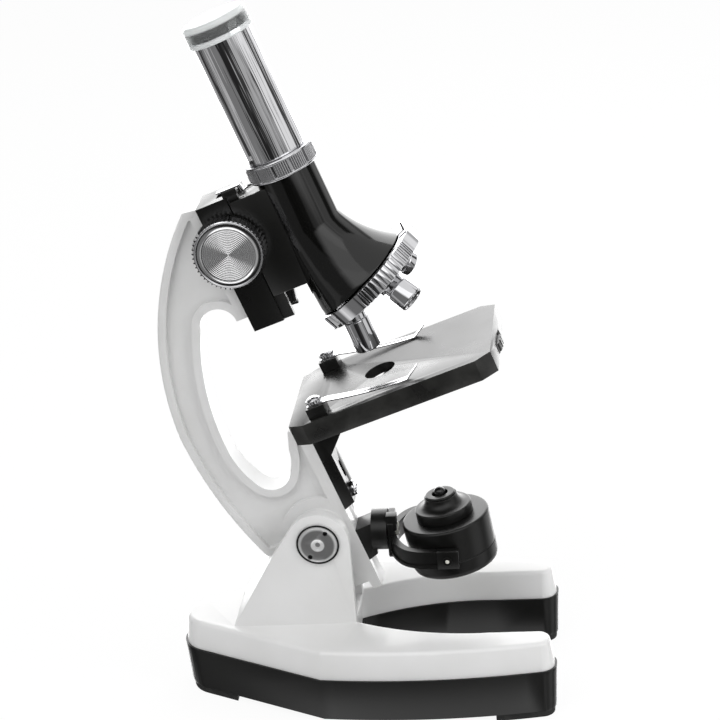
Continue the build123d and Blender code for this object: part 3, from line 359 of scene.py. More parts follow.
@dataclass(frozen=True)
class Polished(Finish):
    """High-gloss black ABS: deep mirror-like skin with hairline wiping marks."""

    colour: str = "#0B0B0A"
    roughness: float = 0.07

    def shader(self) -> Shader:
        """Roughness rises along fine wiping marks so that the gloss isn't perfect.

        Returns:
            The material under way.
        """
        made = Shader(self.name)
        place = made.place()
        marks = made.add(
            "TexNoise", {"Scale": 1 / (3.0 * MM), "Detail": 6.0, "Roughness": 0.7}, {"Vector": place}
        )
        polish = made.add(
            "MapRange",
            {"From Min": 0.35, "From Max": 0.75, "To Min": self.roughness, "To Max": self.roughness + 0.07},
            {"Value": marks.outputs["Fac"]},
        )
        made.feed("Roughness", polish.outputs["Result"])
        wave = made.add("TexNoise", {"Scale": 1 / (9.0 * MM), "Detail": 1.0}, {"Vector": place})
        bump = made.add("Bump", {"Strength": 0.05, "Distance": 0.15 * MM}, {"Height": wave.outputs["Fac"]})
        made.feed("Normal", bump.outputs["Normal"])
        made.set(Base_Color=linear(self.colour), IOR=1.5)
        return made


@dataclass(frozen=True)
class StageSkin(Finish):
    """Satin black lacquer of the stage, rubbed paler where slides were pushed about."""

    def shader(self) -> Shader:
        """Rubbed patches about a centimetre wide are paler and duller.

        Returns:
            The material under way.
        """
        made = Shader(self.name)
        place = made.place()
        cloud = made.add(
            "TexNoise", {"Scale": 1 / (14 * MM), "Detail": 5.0, "Roughness": 0.6}, {"Vector": place}
        )
        rub = made.ramp(cloud.outputs["Fac"], ((0.42, linear("#1C1C1B")), (0.72, linear("#343432"))))
        made.feed("Base Color", rub)
        grit = made.add("TexNoise", {"Scale": 1 / (0.5 * MM), "Detail": 3.0}, {"Vector": place})
        polish = made.add(
            "MapRange",
            {"From Min": 0.3, "From Max": 0.7, "To Min": 0.24, "To Max": 0.34},
            {"Value": cloud.outputs["Fac"]},
        )
        made.feed("Roughness", polish.outputs["Result"])
        bump = made.add("Bump", {"Strength": 0.10, "Distance": 0.08 * MM}, {"Height": grit.outputs["Fac"]})
        made.feed("Normal", bump.outputs["Normal"])
        made.set(IOR=1.5)
        return made


@dataclass(frozen=True)
class Plated(Finish):
    """Bright chromium plate: mirror with a faint haze and tiny wiping marks."""

    colour: str = "#E4E4E6"
    roughness: float = 0.04
    haze: float = 0.06

    def shader(self) -> Shader:
        """The haze varies over a few millimetres.

        Returns:
            The material under way.
        """
        made = Shader(self.name)
        place = made.place()
        haze = made.add(
            "TexNoise", {"Scale": 1 / (4.0 * MM), "Detail": 5.0, "Roughness": 0.65}, {"Vector": place}
        )
        polish = made.add(
            "MapRange",
            {
                "From Min": 0.35,
                "From Max": 0.75,
                "To Min": self.roughness,
                "To Max": self.roughness + self.haze,
            },
            {"Value": haze.outputs["Fac"]},
        )
        made.feed("Roughness", polish.outputs["Result"])
        made.set(Base_Color=linear(self.colour), Metallic=1.0)
        return made


@dataclass(frozen=True)
class Drawn(Plated):
    """Chromium plate over a drawn tube, whose faint lengthwise waves split the reflections into streaks."""

    lean: float = 19.4       # degrees the tube leans back
    wave: float = 1.2        # mm from wave to wave round the tube

    def shader(self) -> Shader:
        """The waves run the whole length of the tube.

        Returns:
            The material under way.
        """
        made = super().shader()
        turned = made.add(
            "Mapping", {"Rotation": (0.0, math.radians(self.lean), 0.0)}, {"Vector": made.place()}
        )
        drawn = made.add("Mapping", {"Scale": (1.0, 1.0, 0.025)}, {"Vector": turned.outputs["Vector"]})
        waves = made.add(
            "TexNoise", {"Scale": 1 / (self.wave * MM), "Detail": 2.0}, {"Vector": drawn.outputs["Vector"]}
        )
        bump = made.add("Bump", {"Strength": 0.8, "Distance": 0.3 * MM}, {"Height": waves.outputs["Fac"]})
        made.feed("Normal", bump.outputs["Normal"])
        return made


@dataclass(frozen=True)
class Turned(Finish):
    """Turned bare metal: fine tool rings that catch the light as arcs."""

    pitch: float = 0.8878     # mm between tool rings, coarser than the real feed so that it shows
    colour: str = "#C9C9CA"
    roughness: float = 0.24
    relief: float = 0.35

    def shader(self) -> Shader:
        """Rings are spheres about the origin, so each face shows arcs of them.

        Returns:
            The material under way.
        """
        made = Shader(self.name)
        place = made.place()
        scale = 2 * math.pi / (WAVE_RATE * self.pitch * MM)
        wave = made.add(
            "TexWave",
            {"wave_type": "RINGS", "rings_direction": "SPHERICAL", "Scale": scale},
            {"Vector": place},
        )
        bump = made.add(
            "Bump", {"Strength": self.relief, "Distance": 0.08 * MM}, {"Height": wave.outputs["Fac"]}
        )
        made.feed("Normal", bump.outputs["Normal"])
        made.set(Base_Color=linear(self.colour), Metallic=1.0, Roughness=self.roughness)
        return made


@dataclass(frozen=True)
class Rolled(Finish):
    """Bright cold-rolled spring strip, brushed along its length."""

    colour: str = "#DADADB"
    roughness: float = 0.16

    def shader(self) -> Shader:
        """Grain lines about 0.3 mm apart run along X.

        Returns:
            The material under way.
        """
        made = Shader(self.name)
        place = made.place()
        along = made.add("Mapping", {"Scale": (0.05, 1.0, 1.0)}, {"Vector": place})
        grain = made.add(
            "TexNoise", {"Scale": 1 / (0.3 * MM), "Detail": 2.0}, {"Vector": along.outputs["Vector"]}
        )
        bump = made.add("Bump", {"Strength": 0.12, "Distance": 0.05 * MM}, {"Height": grain.outputs["Fac"]})
        made.feed("Normal", bump.outputs["Normal"])
        made.set(Base_Color=linear(self.colour), Metallic=1.0, Roughness=self.roughness)
        return made


@dataclass(frozen=True)
class Frosted(Finish):
    """Natural polypropylene cap: milky, clearer along the thin middle of its wall."""

    origin: tuple[float, float, float] = (0.0, 0.0, 0.0)
    up: tuple[float, float, float] = (0.0, 0.0, 1.0)
    low: float = 0.0
    high: float = 1.0

    def shader(self) -> Shader:
        """The black eyepiece shows through the thin middle; the rim and the top stay milky.

        Returns:
            The material under way.
        """
        made = Shader(self.name)
        place = made.place()
        cloud = made.add("TexNoise", {"Scale": 1 / (5 * MM), "Detail": 2.0}, {"Vector": place})
        made.feed(
            "Base Color",
            made.ramp(cloud.outputs["Fac"], ((0.3, linear("#EDF0F0")), (0.7, linear("#F6F8F8")))),
        )
        fine = made.add("TexNoise", {"Scale": 1 / (0.4 * MM), "Detail": 2.0}, {"Vector": place})
        bump = made.add("Bump", {"Strength": 0.1, "Distance": 0.05 * MM}, {"Height": fine.outputs["Fac"]})
        made.feed("Normal", bump.outputs["Normal"])
        shifted = made.add("Mapping", {"Location": tuple(-c for c in self.origin)}, {"Vector": place})
        height = made.add(
            "VectorMath", {"operation": "DOT_PRODUCT", 1: self.up}, {0: shifted.outputs["Vector"]}
        )
        soft = 0.6 * MM
        rise = made.add(
            "MapRange",
            {"From Min": self.low * MM, "From Max": self.low * MM + soft},
            {"Value": height.outputs["Value"]},
        )
        fall = made.add(
            "MapRange",
            {"From Min": self.high * MM, "From Max": self.high * MM - soft},
            {"Value": height.outputs["Value"]},
        )
        thin = made.add(
            "Math", {"operation": "MULTIPLY"}, {0: rise.outputs["Result"], 1: fall.outputs["Result"]}
        )
        clear = made.add("Math", {"operation": "MULTIPLY_ADD", 1: 0.5, 2: 0.45}, {0: thin.outputs["Value"]})
        made.feed("Transmission Weight", clear.outputs["Value"])
        made.set(Roughness=0.24, IOR=1.2)
        return made


@dataclass(frozen=True)
class Glass(Finish):
    """Optical glass: clear, sharp reflections, faint coating tint."""

    tint: str = "#E9F0F4"

    def shader(self) -> Shader:
        """A trace of dust keeps the surface visible.

        Returns:
            The material under way.
        """
        made = Shader(self.name)
        dust = made.add("TexNoise", {"Scale": 1 / (1.2 * MM), "Detail": 3.0}, {"Vector": made.place()})
        polish = made.add(
            "MapRange",
            {"From Min": 0.5, "From Max": 0.8, "To Min": 0.01, "To Max": 0.08},
            {"Value": dust.outputs["Fac"]},
        )
        made.feed("Roughness", polish.outputs["Result"])
        made.set(Base_Color=linear(self.tint), IOR=1.52, Transmission_Weight=1.0)
        return made


@dataclass(frozen=True)
class Rubber(Finish):
    """Vulcanised rubber: dull dark grey with a dusty bloom."""

    def shader(self) -> Shader:
        """Bloom is paler in patches of a few millimetres.

        Returns:
            The material under way.
        """
        made = Shader(self.name)
        place = made.place()
        bloom = made.add("TexNoise", {"Scale": 1 / (3 * MM), "Detail": 4.0}, {"Vector": place})
        made.feed(
            "Base Color",
            made.ramp(bloom.outputs["Fac"], ((0.35, linear("#1B1B1B")), (0.8, linear("#2C2C2B")))),
        )
        made.set(Roughness=0.8, IOR=1.52)
        return made


@dataclass(frozen=True)
class Disc(Finish):
    """Pressed steel disc seen face on: satin face and a raised centre ring, with painted highlights on the
    lip, the centre ring and an outer band, and painted shadow in the gap round it.
    """

    centre: tuple[float, float, float] = (0.0, 0.0, 0.0)
    # radius in millimetres and tone; the pale tones paint highlights, the darkest paints the gap's shadow
    rings: tuple[tuple[float, str], ...] = ()
    pitch: float = 0.748     # mm between lathe marks

    def shader(self) -> Shader:
        """The tone changes by radius, in millimetres from the disc's centre; its pale rings are painted
        highlights and its dark ring is painted shadow.

        Returns:
            The material under way.
        """
        made = Shader(self.name)
        shifted = made.add("Mapping", {"Location": tuple(-c for c in self.centre)}, {"Vector": made.place()})
        reach = made.add("VectorMath", {"operation": "LENGTH"}, {0: shifted.outputs["Vector"]})
        span = self.rings[-1][0]
        share = made.add("Math", {"operation": "DIVIDE", 1: span * MM}, {0: reach.outputs["Value"]})
        stops = [(radius / span, linear(code)) for radius, code in self.rings]
        made.feed("Base Color", made.ramp(share.outputs["Value"], stops))
        scale = 2 * math.pi / (WAVE_RATE * self.pitch * MM)
        lathe_marks = made.add(
            "TexWave",
            {"wave_type": "RINGS", "rings_direction": "SPHERICAL", "Scale": scale},
            {"Vector": shifted.outputs["Vector"]},
        )
        bump = made.add(
            "Bump", {"Strength": 0.25, "Distance": 0.06 * MM}, {"Height": lathe_marks.outputs["Fac"]}
        )
        made.feed("Normal", bump.outputs["Normal"])
        made.set(Metallic=0.6, Roughness=0.32)
        return made


WHITE_SHELL = Moulded("abs_white_moulded", "#E8E8E8", "#E0E0DF", roughness=0.36, relief=0.04, coat=0.15)
BLACK_TRAY = Moulded("abs_black_tray", "#121211", "#0D0D0C", roughness=0.31, relief=0.06, ior=1.42)
BLACK_HOUSING = Moulded("abs_black_housing", "#161615", "#10100F", roughness=0.28, relief=0.05)
BLACK_LAMP = Moulded("abs_black_lamp", "#121211", "#0D0D0C", roughness=0.34, relief=0.05, ior=1.42)
WHITE_ENAMEL = Enamel("stove_enamel_white")
GLOSS_BLACK = Polished("abs_black_polished")
STAGE_BLACK = StageSkin("stage_satin_black")
CHROME = Plated("chrome_plate", "#D0D0D2")
CHROME_TUBE = Drawn("chrome_plate_tube", "#E6E6E8", 0.005, 0.03)
PLATE = Plated("knob_plate_turned", "#DCDCDD", 0.1)
STEEL = Turned("steel_turned")
STRIP = Rolled("spring_strip")
BRASS = Turned("brass_cut", colour="#C9A35B", roughness=0.3, relief=0.1)
NYLON = Moulded("nylon_natural", "#D9D8D0", "#D0CFC6", roughness=0.5)
LENS = Glass("optical_glass")
BULB_DARK = Polished("bulb_smoked", "#1A1A1A", 0.05)
MIRROR = Plated("silvered_mirror", "#F0F2F3", 0.01)
RUBBER = Rubber("rubber_pads")


# ------------------------------------------------------------------------------ meshes
def soften(points: Profile, radius: float, steps: int = 3) -> list[tuple[float, float]]:
    """Rounds the inner corners of an open profile.

    Args:
        points: profile corners (radius, height).
        radius: largest rounding, cut back on short sides.
        steps: segments in each rounding.

    Returns:
        The profile with its corners rounded; its ends are kept.
    """
    out: list[tuple[float, float]] = [tuple(points[0])]
    for before, here, after in zip(points, points[1:], points[2:]):
        a, b, c = Vector(before), Vector(here), Vector(after)
        first, second = a - b, c - b
        if first.length < 1e-6 or second.length < 1e-6:
            continue
        reach = min(radius, 0.45 * first.length, 0.45 * second.length)
        start, end = b + first.normalized() * reach, b + second.normalized() * reach
        for step in range(steps + 1):
            t = step / steps
            spot = start * (1 - t) ** 2 + b * 2 * t * (1 - t) + end * t * t
            out.append((spot.x, spot.y))
    out.append(tuple(points[-1]))
    return out


def lathe(axes: Axes, profile: Profile, turns: int = 96, closed: bool = False) -> bmesh.types.BMesh:
    """Turned body about an axis.

    Args:
        axes: origin and up axis of the turning.
        profile: radius and height of each profile point.
        turns: facets round the body.
        closed: whether the profile's end joins its start, as in a ring.

    Returns:
        The mesh, in the row frame.
    """
    mesh = bmesh.new()
    rings: list[list[bmesh.types.BMVert]] = []
    for radius, height in profile:
        if radius < 1e-5:
            rings.append([mesh.verts.new(axes.at(0, 0, height))])
            continue
        ring = []
        for step in range(turns):
            angle = 2 * math.pi * step / turns
            ring.append(mesh.verts.new(axes.at(radius * math.cos(angle), radius * math.sin(angle), height)))
        rings.append(ring)
    pairs = list(zip(rings, rings[1:])) + ([(rings[-1], rings[0])] if closed else [])
    for low, high in pairs:
        for step in range(turns):
            nxt = (step + 1) % turns
            corners = [
                low[step % len(low)], low[nxt % len(low)], high[nxt % len(high)], high[step % len(high)]
            ]
            unique = list(dict.fromkeys(corners))
            if len(unique) > 2:
                mesh.faces.new(unique)
    bmesh.ops.recalc_face_normals(mesh, faces=mesh.faces)
    return mesh


def prism(axes: Axes, outline: Profile, low: float, high: float, edge: float = 0.3) -> bmesh.types.BMesh:
    """Block of an even outline with its edges rounded.

    Args:
        axes: the outline lies along side and across, the block rises along up.
        outline: corners of the block, in order round it.
        low: where the block starts along up.
        high: where it ends.
        edge: rounding of its edges.

    Returns:
        The mesh, in the row frame.
    """
    mesh = bmesh.new()
    ends = [[mesh.verts.new(axes.at(a, c, height)) for a, c in outline] for height in (low, high)]
    mesh.faces.new(ends[0])
    mesh.faces.new(ends[1])
    for k in range(len(outline)):
        nxt = (k + 1) % len(outline)
        mesh.faces.new((ends[0][k], ends[0][nxt], ends[1][nxt], ends[1][k]))
    bmesh.ops.recalc_face_normals(mesh, faces=mesh.faces)
    bmesh.ops.bevel(
        mesh, geom=mesh.edges[:], offset=edge * MM, offset_type="OFFSET", segments=2, profile=0.5,
        affect="EDGES", clamp_overlap=True,
    )
    return mesh


def swept(path: Profile, section: Profile, height: float) -> bmesh.types.BMesh:
    """Bar of an even section bent along a level line.

    Args:
        path: x and y of the line's points.
        section: closed section, outward from the line and up.
        height: z of the section's zero.

    Returns:
        The mesh, in the row frame.
    """
    mesh = bmesh.new()
    rings = []
    for k, here in enumerate(path):
        before, after = path[max(k - 1, 0)], path[min(k + 1, len(path) - 1)]
        ahead = Vector((after[0] - before[0], after[1] - before[1])).normalized()
        out = Vector((ahead.y, -ahead.x))
        places = [Vector((here[0] + out.x * o, here[1] + out.y * o, height + z)) * MM for o, z in section]
        rings.append([mesh.verts.new(place) for place in places])
    for low, high in zip(rings, rings[1:]):
        for k in range(len(section)):
            nxt = (k + 1) % len(section)
            mesh.faces.new((low[k], low[nxt], high[nxt], high[k]))
    mesh.faces.new(rings[0])
    mesh.faces.new(rings[-1])
    bmesh.ops.recalc_face_normals(mesh, faces=mesh.faces)
    return mesh


class Dresser:
    """Makes objects, gives them finishes and ties them to bodies."""

    def __init__(self, frame: dict[str, Any]) -> None:
        """Keeps the frame's nodes.
        """
        self.nodes = frame["nodes"]
        self.slots = {entry["node"]: entry["material_slot"] for entry in frame["record"]["subparts"]}

    def piece(
        self,
        name: str,
        mesh: bmesh.types.BMesh,
        finish: Finish,
        body: Body,
        replaces: Iterable[str] = (),
        sharp: float = 32.0,
    ) -> bpy.types.Object:
        """Turns a mesh into a dressed piece that rides on a body.

        Args:
            name: the piece's name.
            mesh: its mesh, in the row frame; it is freed.
            finish: finish of the whole piece.
            body: body it moves with.
            replaces: nodes of the frame it stands for.
            sharp: edges steeper than this many degrees stay sharp.

        Returns:
            The new object.
        """
        data = bpy.data.meshes.new(name)
        mesh.to_mesh(data)
        mesh.free()
        return self.settle(name, data, finish, body, replaces, sharp)

    def settle(
        self,
        name: str,
        data: bpy.types.Mesh,
        finish: Finish,
        body: Body,
        replaces: Iterable[str] = (),
        sharp: float = 32.0,
    ) -> bpy.types.Object:
        """Same as piece(), for a mesh that is already a data block.

        Args:
            name: the piece's name.
            data: its mesh, in the row frame.
            finish: finish of the whole piece.
            body: body it moves with.
            replaces: nodes of the frame it stands for.
            sharp: edges steeper than this many degrees stay sharp.

        Returns:
            The new object.
        """
        for face in data.polygons:
            face.use_smooth = True
        data.set_sharp_from_angle(angle=math.radians(sharp))
        data.materials.clear()
        data.materials.append(finish.build())
        made = bpy.data.objects.new(name, data)
        bpy.context.scene.collection.objects.link(made)
        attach(made, body.value)
        names = list(replaces)
        if names:
            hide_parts(*names)
        LOG.info("%s: %d faces on %s", name, len(data.polygons), body.value)
        return made

    def skin(
        self,
        node: str,
        finish: Finish,
        body: Body,
        edge: float = 0.25,
        sharp: float = 28.0,
        shape: Callable[[bmesh.types.BMesh], None] | None = None,
    ) -> bpy.types.Object:
        """Smooth, edge-rounded copy of a node of the frame, which it replaces.

        Args:
            node: the node's name.
            finish: finish of the piece.
            body: body it moves with.
            edge: rounding of its sharp edges.
            sharp: edges steeper than this many degrees are rounded.
            shape: changes the copy before its edges are rounded.

        Returns:
            The new object.
        """
        mesh = bmesh.new()
        mesh.from_mesh(self.nodes[node].data)
        bmesh.ops.remove_doubles(mesh, verts=mesh.verts, dist=WELD)
        bmesh.ops.dissolve_limit(
            mesh,
            angle_limit=math.radians(FLAT_ANGLE),
            use_dissolve_boundaries=False,
            verts=mesh.verts,
            edges=mesh.edges,
        )
        if shape:
            shape(mesh)
            bmesh.ops.remove_doubles(mesh, verts=mesh.verts, dist=WELD)
            bmesh.ops.dissolve_degenerate(mesh, edges=mesh.edges, dist=SLIVER)
        data = bpy.data.meshes.new(node + "_skin")
        mesh.to_mesh(data)
        mesh.free()
        holder = bpy.data.objects.new(node + "_holder", data)
        bpy.context.scene.collection.objects.link(holder)
        if edge > 0:
            bevel = holder.modifiers.new("edge", "BEVEL")
            bevel.width = edge * MM
            bevel.segments = 2
            bevel.limit_method = "ANGLE"
            bevel.angle_limit = math.radians(sharp)
            bevel.use_clamp_overlap = True
            bevel.miter_outer = "MITER_ARC"
        graph = bpy.context.evaluated_depsgraph_get()
        plain = bpy.data.meshes.new_from_object(holder.evaluated_get(graph))
        bpy.data.objects.remove(holder)
        return self.settle(node + "_piece", plain, finish, body, [node], sharp)

    def turned(
        self,
        name: str,
        axes: Axes,
        profile: Profile,
        finish: Finish,
        body: Body,
        replaces: Iterable[str] = (),
        rounding: float = 0.25,
        turns: int = 144,
    ) -> bpy.types.Object:
        """Smooth turned piece with a closed, softly rounded profile.

        Args:
            name: the piece's name.
            axes: origin and axis of the turning.
            profile: corners of the closed section, radius and height.
            finish: finish of the piece.
            body: body it moves with.
            replaces: nodes of the frame it stands for.
            rounding: largest rounding of the corners.
            turns: facets round the body.

        Returns:
            The new object.
        """
        seam = tuple((a + b) / 2 for a, b in zip(profile[0], profile[-1]))
        section = soften([seam, *profile, seam], rounding)[:-1]
        return self.piece(name, lathe(axes, section, turns, closed=True), finish, body, replaces)

    def paint(self, node: str, finish: Finish) -> None:
        """Gives a node of the frame its finish, its shape kept.

        Args:
            node: the node's name.
            finish: finish of the node.
        """
        data = self.nodes[node].data
        data.materials.clear()
        data.materials.append(finish.build())


# ------------------------------------------------------------------------------ geometry nodes
class GrowthTree:
    """A Geometry Nodes tree with named inputs, made into a plain mesh when it is run."""

    def __init__(self, name: str) -> None:
        """Makes an empty tree with a geometry output.

        Args:
            name: the tree's name.
        """
        self.tree = bpy.data.node_groups.new(name, "GeometryNodeTree")
        self.tree.interface.new_socket("Geometry", in_out="OUTPUT", socket_type="NodeSocketGeometry")
        self.inputs = self.tree.nodes.new("NodeGroupInput")
        self.output = self.tree.nodes.new("NodeGroupOutput")
        self.keys: dict[str, str] = {}

    def expose(self, name: str, kind: str, value: Any) -> None:
        """Adds a named input with its default value.

        Args:
            name: the input's name.
            kind: socket type without the NodeSocket prefix.
            value: default value.
        """
        made = self.tree.interface.new_socket(name, in_out="INPUT", socket_type="NodeSocket" + kind)
        if value is not None:
            made.default_value = value
        self.keys[name] = made.identifier

    def given(self, name: str) -> Any:
        """Output socket of the group input that carries a named input."""
        return next(s for s in self.inputs.outputs if s.identifier == self.keys[name])

    def add(self, kind: str, settings: Values = None, links: Values = None) -> Any:
        """Adds a node as add_node() does."""
        return add_node(self.tree, kind, settings, links)

    def finish(self, geometry: Any) -> None:
        """Ends the tree in Realize Instances and Set Material.

        Args:
            geometry: output socket that carries the shape.
        """
        real = self.add("GeometryNodeRealizeInstances", links={"Geometry": geometry})
        dressed = self.add(
            "GeometryNodeSetMaterial",
            links={"Geometry": real.outputs["Geometry"], "Material": self.given("Material")},
        )
        self.tree.links.new(dressed.outputs["Geometry"], self.output.inputs["Geometry"])

    def run(self, values: dict[str, Any], place: Matrix) -> bpy.types.Mesh:
        """Evaluates the tree and returns its result as a plain mesh in the row frame.

        Args:
            values: named inputs and their values.
            place: matrix from the tree's millimetres to the row frame.

        Returns:
            The mesh.
        """
        holder = bpy.data.objects.new(
            self.tree.name + "_holder", bpy.data.meshes.new(self.tree.name + "_seed")
        )
        bpy.context.scene.collection.objects.link(holder)
        modifier = holder.modifiers.new("growth", "NODES")
        modifier.node_group = self.tree
        for name, value in values.items():
            modifier[self.keys[name]] = value
        graph = bpy.context.evaluated_depsgraph_get()
        plain = bpy.data.meshes.new_from_object(holder.evaluated_get(graph))
        holder.modifiers.remove(modifier)
        bpy.data.objects.remove(holder)
        plain.transform(place)
        return plain


class RimRibs(GrowthTree):
    """Ribs standing side by side round a rim, optionally in groups with plain gaps."""

    def __init__(self) -> None:
        """Builds the tree; every rib is a small bar with a few faces."""
        super().__init__("rim_ribs")
        for name, kind, value in (
            ("Count", "Int", 60),
            ("Radius", "Float", 10.0),
            ("Rib Radius", "Float", 0.4),
            ("Length", "Float", 5.0),
            ("Sides", "Int", 8),
            ("Group", "Int", 1000),
            ("Kept", "Int", 1000),
            ("Shift", "Float", 0.0),
            ("Material", "Material", None),
        ):
            self.expose(name, kind, value)
        ring = self.add(
            "GeometryNodeMeshCircle", {}, {"Vertices": self.given("Count"), "Radius": self.given("Radius")}
        )
        bar = self.add(
            "GeometryNodeMeshCylinder",
            {},
            {
                "Vertices": self.given("Sides"),
                "Radius": self.given("Rib Radius"),
                "Depth": self.given("Length"),
            },
        )
        number = self.add("GeometryNodeInputIndex")
        rest = self.add(
            "FunctionNodeIntegerMath",
            {"operation": "MODULO"},
            {0: number.outputs["Index"], 1: self.given("Group")},
        )
        kept = self.add(
            "FunctionNodeCompare",
            {"data_type": "INT", "operation": "LESS_THAN"},
            {2: rest.outputs["Value"], 3: self.given("Kept")},
        )
        share = self.add(
            "ShaderNodeMath", {"operation": "DIVIDE"}, {0: number.outputs["Index"], 1: self.given("Count")}
        )
        turn = self.add(
            "ShaderNodeMath", {"operation": "MULTIPLY", 1: 2 * math.pi}, {0: share.outputs["Value"]}
        )
        facing = self.add("ShaderNodeCombineXYZ", {}, {"Z": turn.outputs["Value"]})
        ribs = self.add(
            "GeometryNodeInstanceOnPoints",
            {},
            {
                "Points": ring.outputs["Mesh"],
                "Selection": kept.outputs["Result"],
                "Instance": bar.outputs["Mesh"],
                "Rotation": facing.outputs["Vector"],
            },
        )
        start = self.add("ShaderNodeCombineXYZ", {}, {"Z": self.given("Shift")})
        spun = self.add(
            "GeometryNodeTransform",
            {},
            {"Geometry": ribs.outputs["Instances"], "Rotation": start.outputs["Vector"]},
        )
        self.finish(spun.outputs["Geometry"])


# ------------------------------------------------------------------------------ sub-assemblies
@dataclass
class Base:
    """Horseshoe base: white shell over a black tray, on rubber pads, with the pivot's two discs."""

    shell_edge: float = 0.5
    tray_edge: float = 0.35
    clearance: float = 2.4      # between table and tray; the pads stand below it
    pad_height: float = 0.6     # of the pads in the frame, which are made as tall as the clearance
    pad_bite: float = 0.05      # the pads reach this far into the tray
    # face tones by radius in mm: the white and pale rings are painted highlights, the near-black ring at 6.3
    # to 6.7 is painted shadow of the gap
    disc_tones_with_painted_light: tuple[tuple[float, str], ...] = (
        (0.0, "#B0B0B0"), (0.9, "#9A9A9A"), (1.05, "#FFFFFF"), (2.0, "#F4F4F4"), (2.25, "#8A8A8A"),
        (5.0, "#8E8E8E"), (5.5, "#E4E4E4"), (6.1, "#E4E4E4"), (6.3, "#1C1C1C"), (6.7, "#1C1C1C"),
        (6.85, "#D8D8D8"), (7.3, "#D8D8D8"),
    )
    spanner_reach: float = 4.8
    spanner_angle: float = 56.0
    spanner_radius: float = 0.74

    def spanner_pit_shades(self, kit: Dresser, node: str, centre: Vector, outward: int) -> None:
        """Black cups set in the two spanner holes of a pivot disc: painted shade that darkens the holes.

        Args:
            kit: makes and finishes the pieces.
            node: node of the disc.
            centre: middle of the disc's face.
            outward: sign of the direction in which the face looks, along Y.
        """
        face = Axes(centre, Vector((1, 0, 0)), Vector((0, outward, 0)))
        radius = self.spanner_radius
        # black cup inside each hole: painted shade for the hole's walls
        pit_shade_section = (
            (0.0, -0.88), (radius, -0.88), (radius, -0.12),
            (radius - 0.06, -0.1), (radius - 0.09, -0.7), (0.0, -0.8),
        )
        for number, turn in enumerate((0, 180)):
            angle = math.radians(self.spanner_angle + turn)
            across = self.spanner_reach * math.sin(angle) * face.up.cross(face.side).z
            painted_pit_shade = lathe(face.moved(self.spanner_reach * math.cos(angle), across, 0), pit_shade_section, 32)
            kit.piece(f"{node}_pit_{number}", painted_pit_shade, BLACK_HOUSING, Body.BASE)

    def lift(self, mesh: bmesh.types.BMesh) -> None:
        """Raises the tray's underside to the clearance."""
        for vert in mesh.verts:
            vert.co.z = max(vert.co.z, self.clearance * MM)

    def thicken(self, mesh: bmesh.types.BMesh) -> None:
        """Brings the tops of the pads up to the tray.

        Args:
            mesh: copy of the pads.
        """
        for vert in mesh.verts:
            if vert.co.z > self.pad_height / 2 * MM:
                vert.co.z = (self.clearance + self.pad_bite) * MM

    def build(self, kit: Dresser) -> None:
        """Dresses the base.

        Args:
            kit: makes and finishes the pieces.
        """
        kit.skin("base_shell", WHITE_SHELL, Body.BASE, self.shell_edge)
        kit.skin("base_plinth", BLACK_TRAY, Body.BASE, self.tray_edge, shape=self.lift)
        kit.skin("foot_pads", RUBBER, Body.BASE, 0.2, shape=self.thicken)
        for node in ("pivot_bolt", "pivot_nut"):
            low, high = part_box(node)
            centre = (low + high) / 2
            face = low.y if node == "pivot_bolt" else high.y
            place = (centre.x, face, centre.z)
            finish = Disc(node + "_disc", place, self.disc_tones_with_painted_light)
            kit.skin(node, finish, Body.BASE, 0.15)
            self.spanner_pit_shades(kit, node, Vector(place), -1 if node == "pivot_bolt" else 1)
        kit.skin("pivot_washers", NYLON, Body.BASE, 0.1)
        kit.paint("base_screws", STEEL)


@dataclass
class Arm:
    """Cast arm with its focus housing, stage bracket and lamp stem."""

    rim: float = 0.5
    side_half: float = 6.9      # what lies further out than this is a side of the housing
    front: float = 24.9         # what lies further ahead than this is its front
    rail_start: float = 20.6    # here it steps in
    rail_step: float = 0.02     # length of the step
    rail_half: float = 5.7
    rail_front: float = 24.0

    def narrow(self, mesh: bmesh.types.BMesh, limb: Axes) -> None:
        """Steps the front of the housing in, so that the carriage can run over its rails.

        Args:
            mesh: copy of the housing.
            limb: axes of the limb.
        """
        for start in (self.rail_start, self.rail_start + self.rail_step):
            parts = mesh.verts[:] + mesh.edges[:] + mesh.faces[:]
            bmesh.ops.bisect_plane(mesh, geom=parts, plane_co=limb.at(start, 0, 0), plane_no=limb.side)
        for vert in mesh.verts:
            ahead = (vert.co - limb.origin).dot(limb.side) / MM
            if ahead > self.rail_start + 0.75 * self.rail_step and abs(vert.co.y) > self.side_half * MM:
                vert.co.y = math.copysign(self.rail_half * MM, vert.co.y)
            if ahead > self.front:
                vert.co -= limb.side * (ahead - self.rail_front) * MM

    def build(self, kit: Dresser, layout: Layout) -> None:
        """Dresses the arm and what is bolted to it.

        Args:
            kit: makes and finishes the pieces.
            layout: places of the joints.
        """
        kit.skin("arm", WHITE_ENAMEL, Body.LIMB, self.rim)
        kit.skin(
            "focus_housing", BLACK_HOUSING, Body.LIMB, 0.3, shape=lambda mesh: self.narrow(mesh, layout.limb)
        )
        kit.skin("stop_spring", STRIP, Body.LIMB, 0.08)
        kit.skin("stage_bracket", BLACK_HOUSING, Body.LIMB, 0.3)
        kit.skin("bracket_screw", CHROME, Body.LIMB, 0.08)
        kit.skin("lamp_stem", BLACK_LAMP, Body.LIMB, 0.3)
        kit.paint("housing_screws", STEEL)


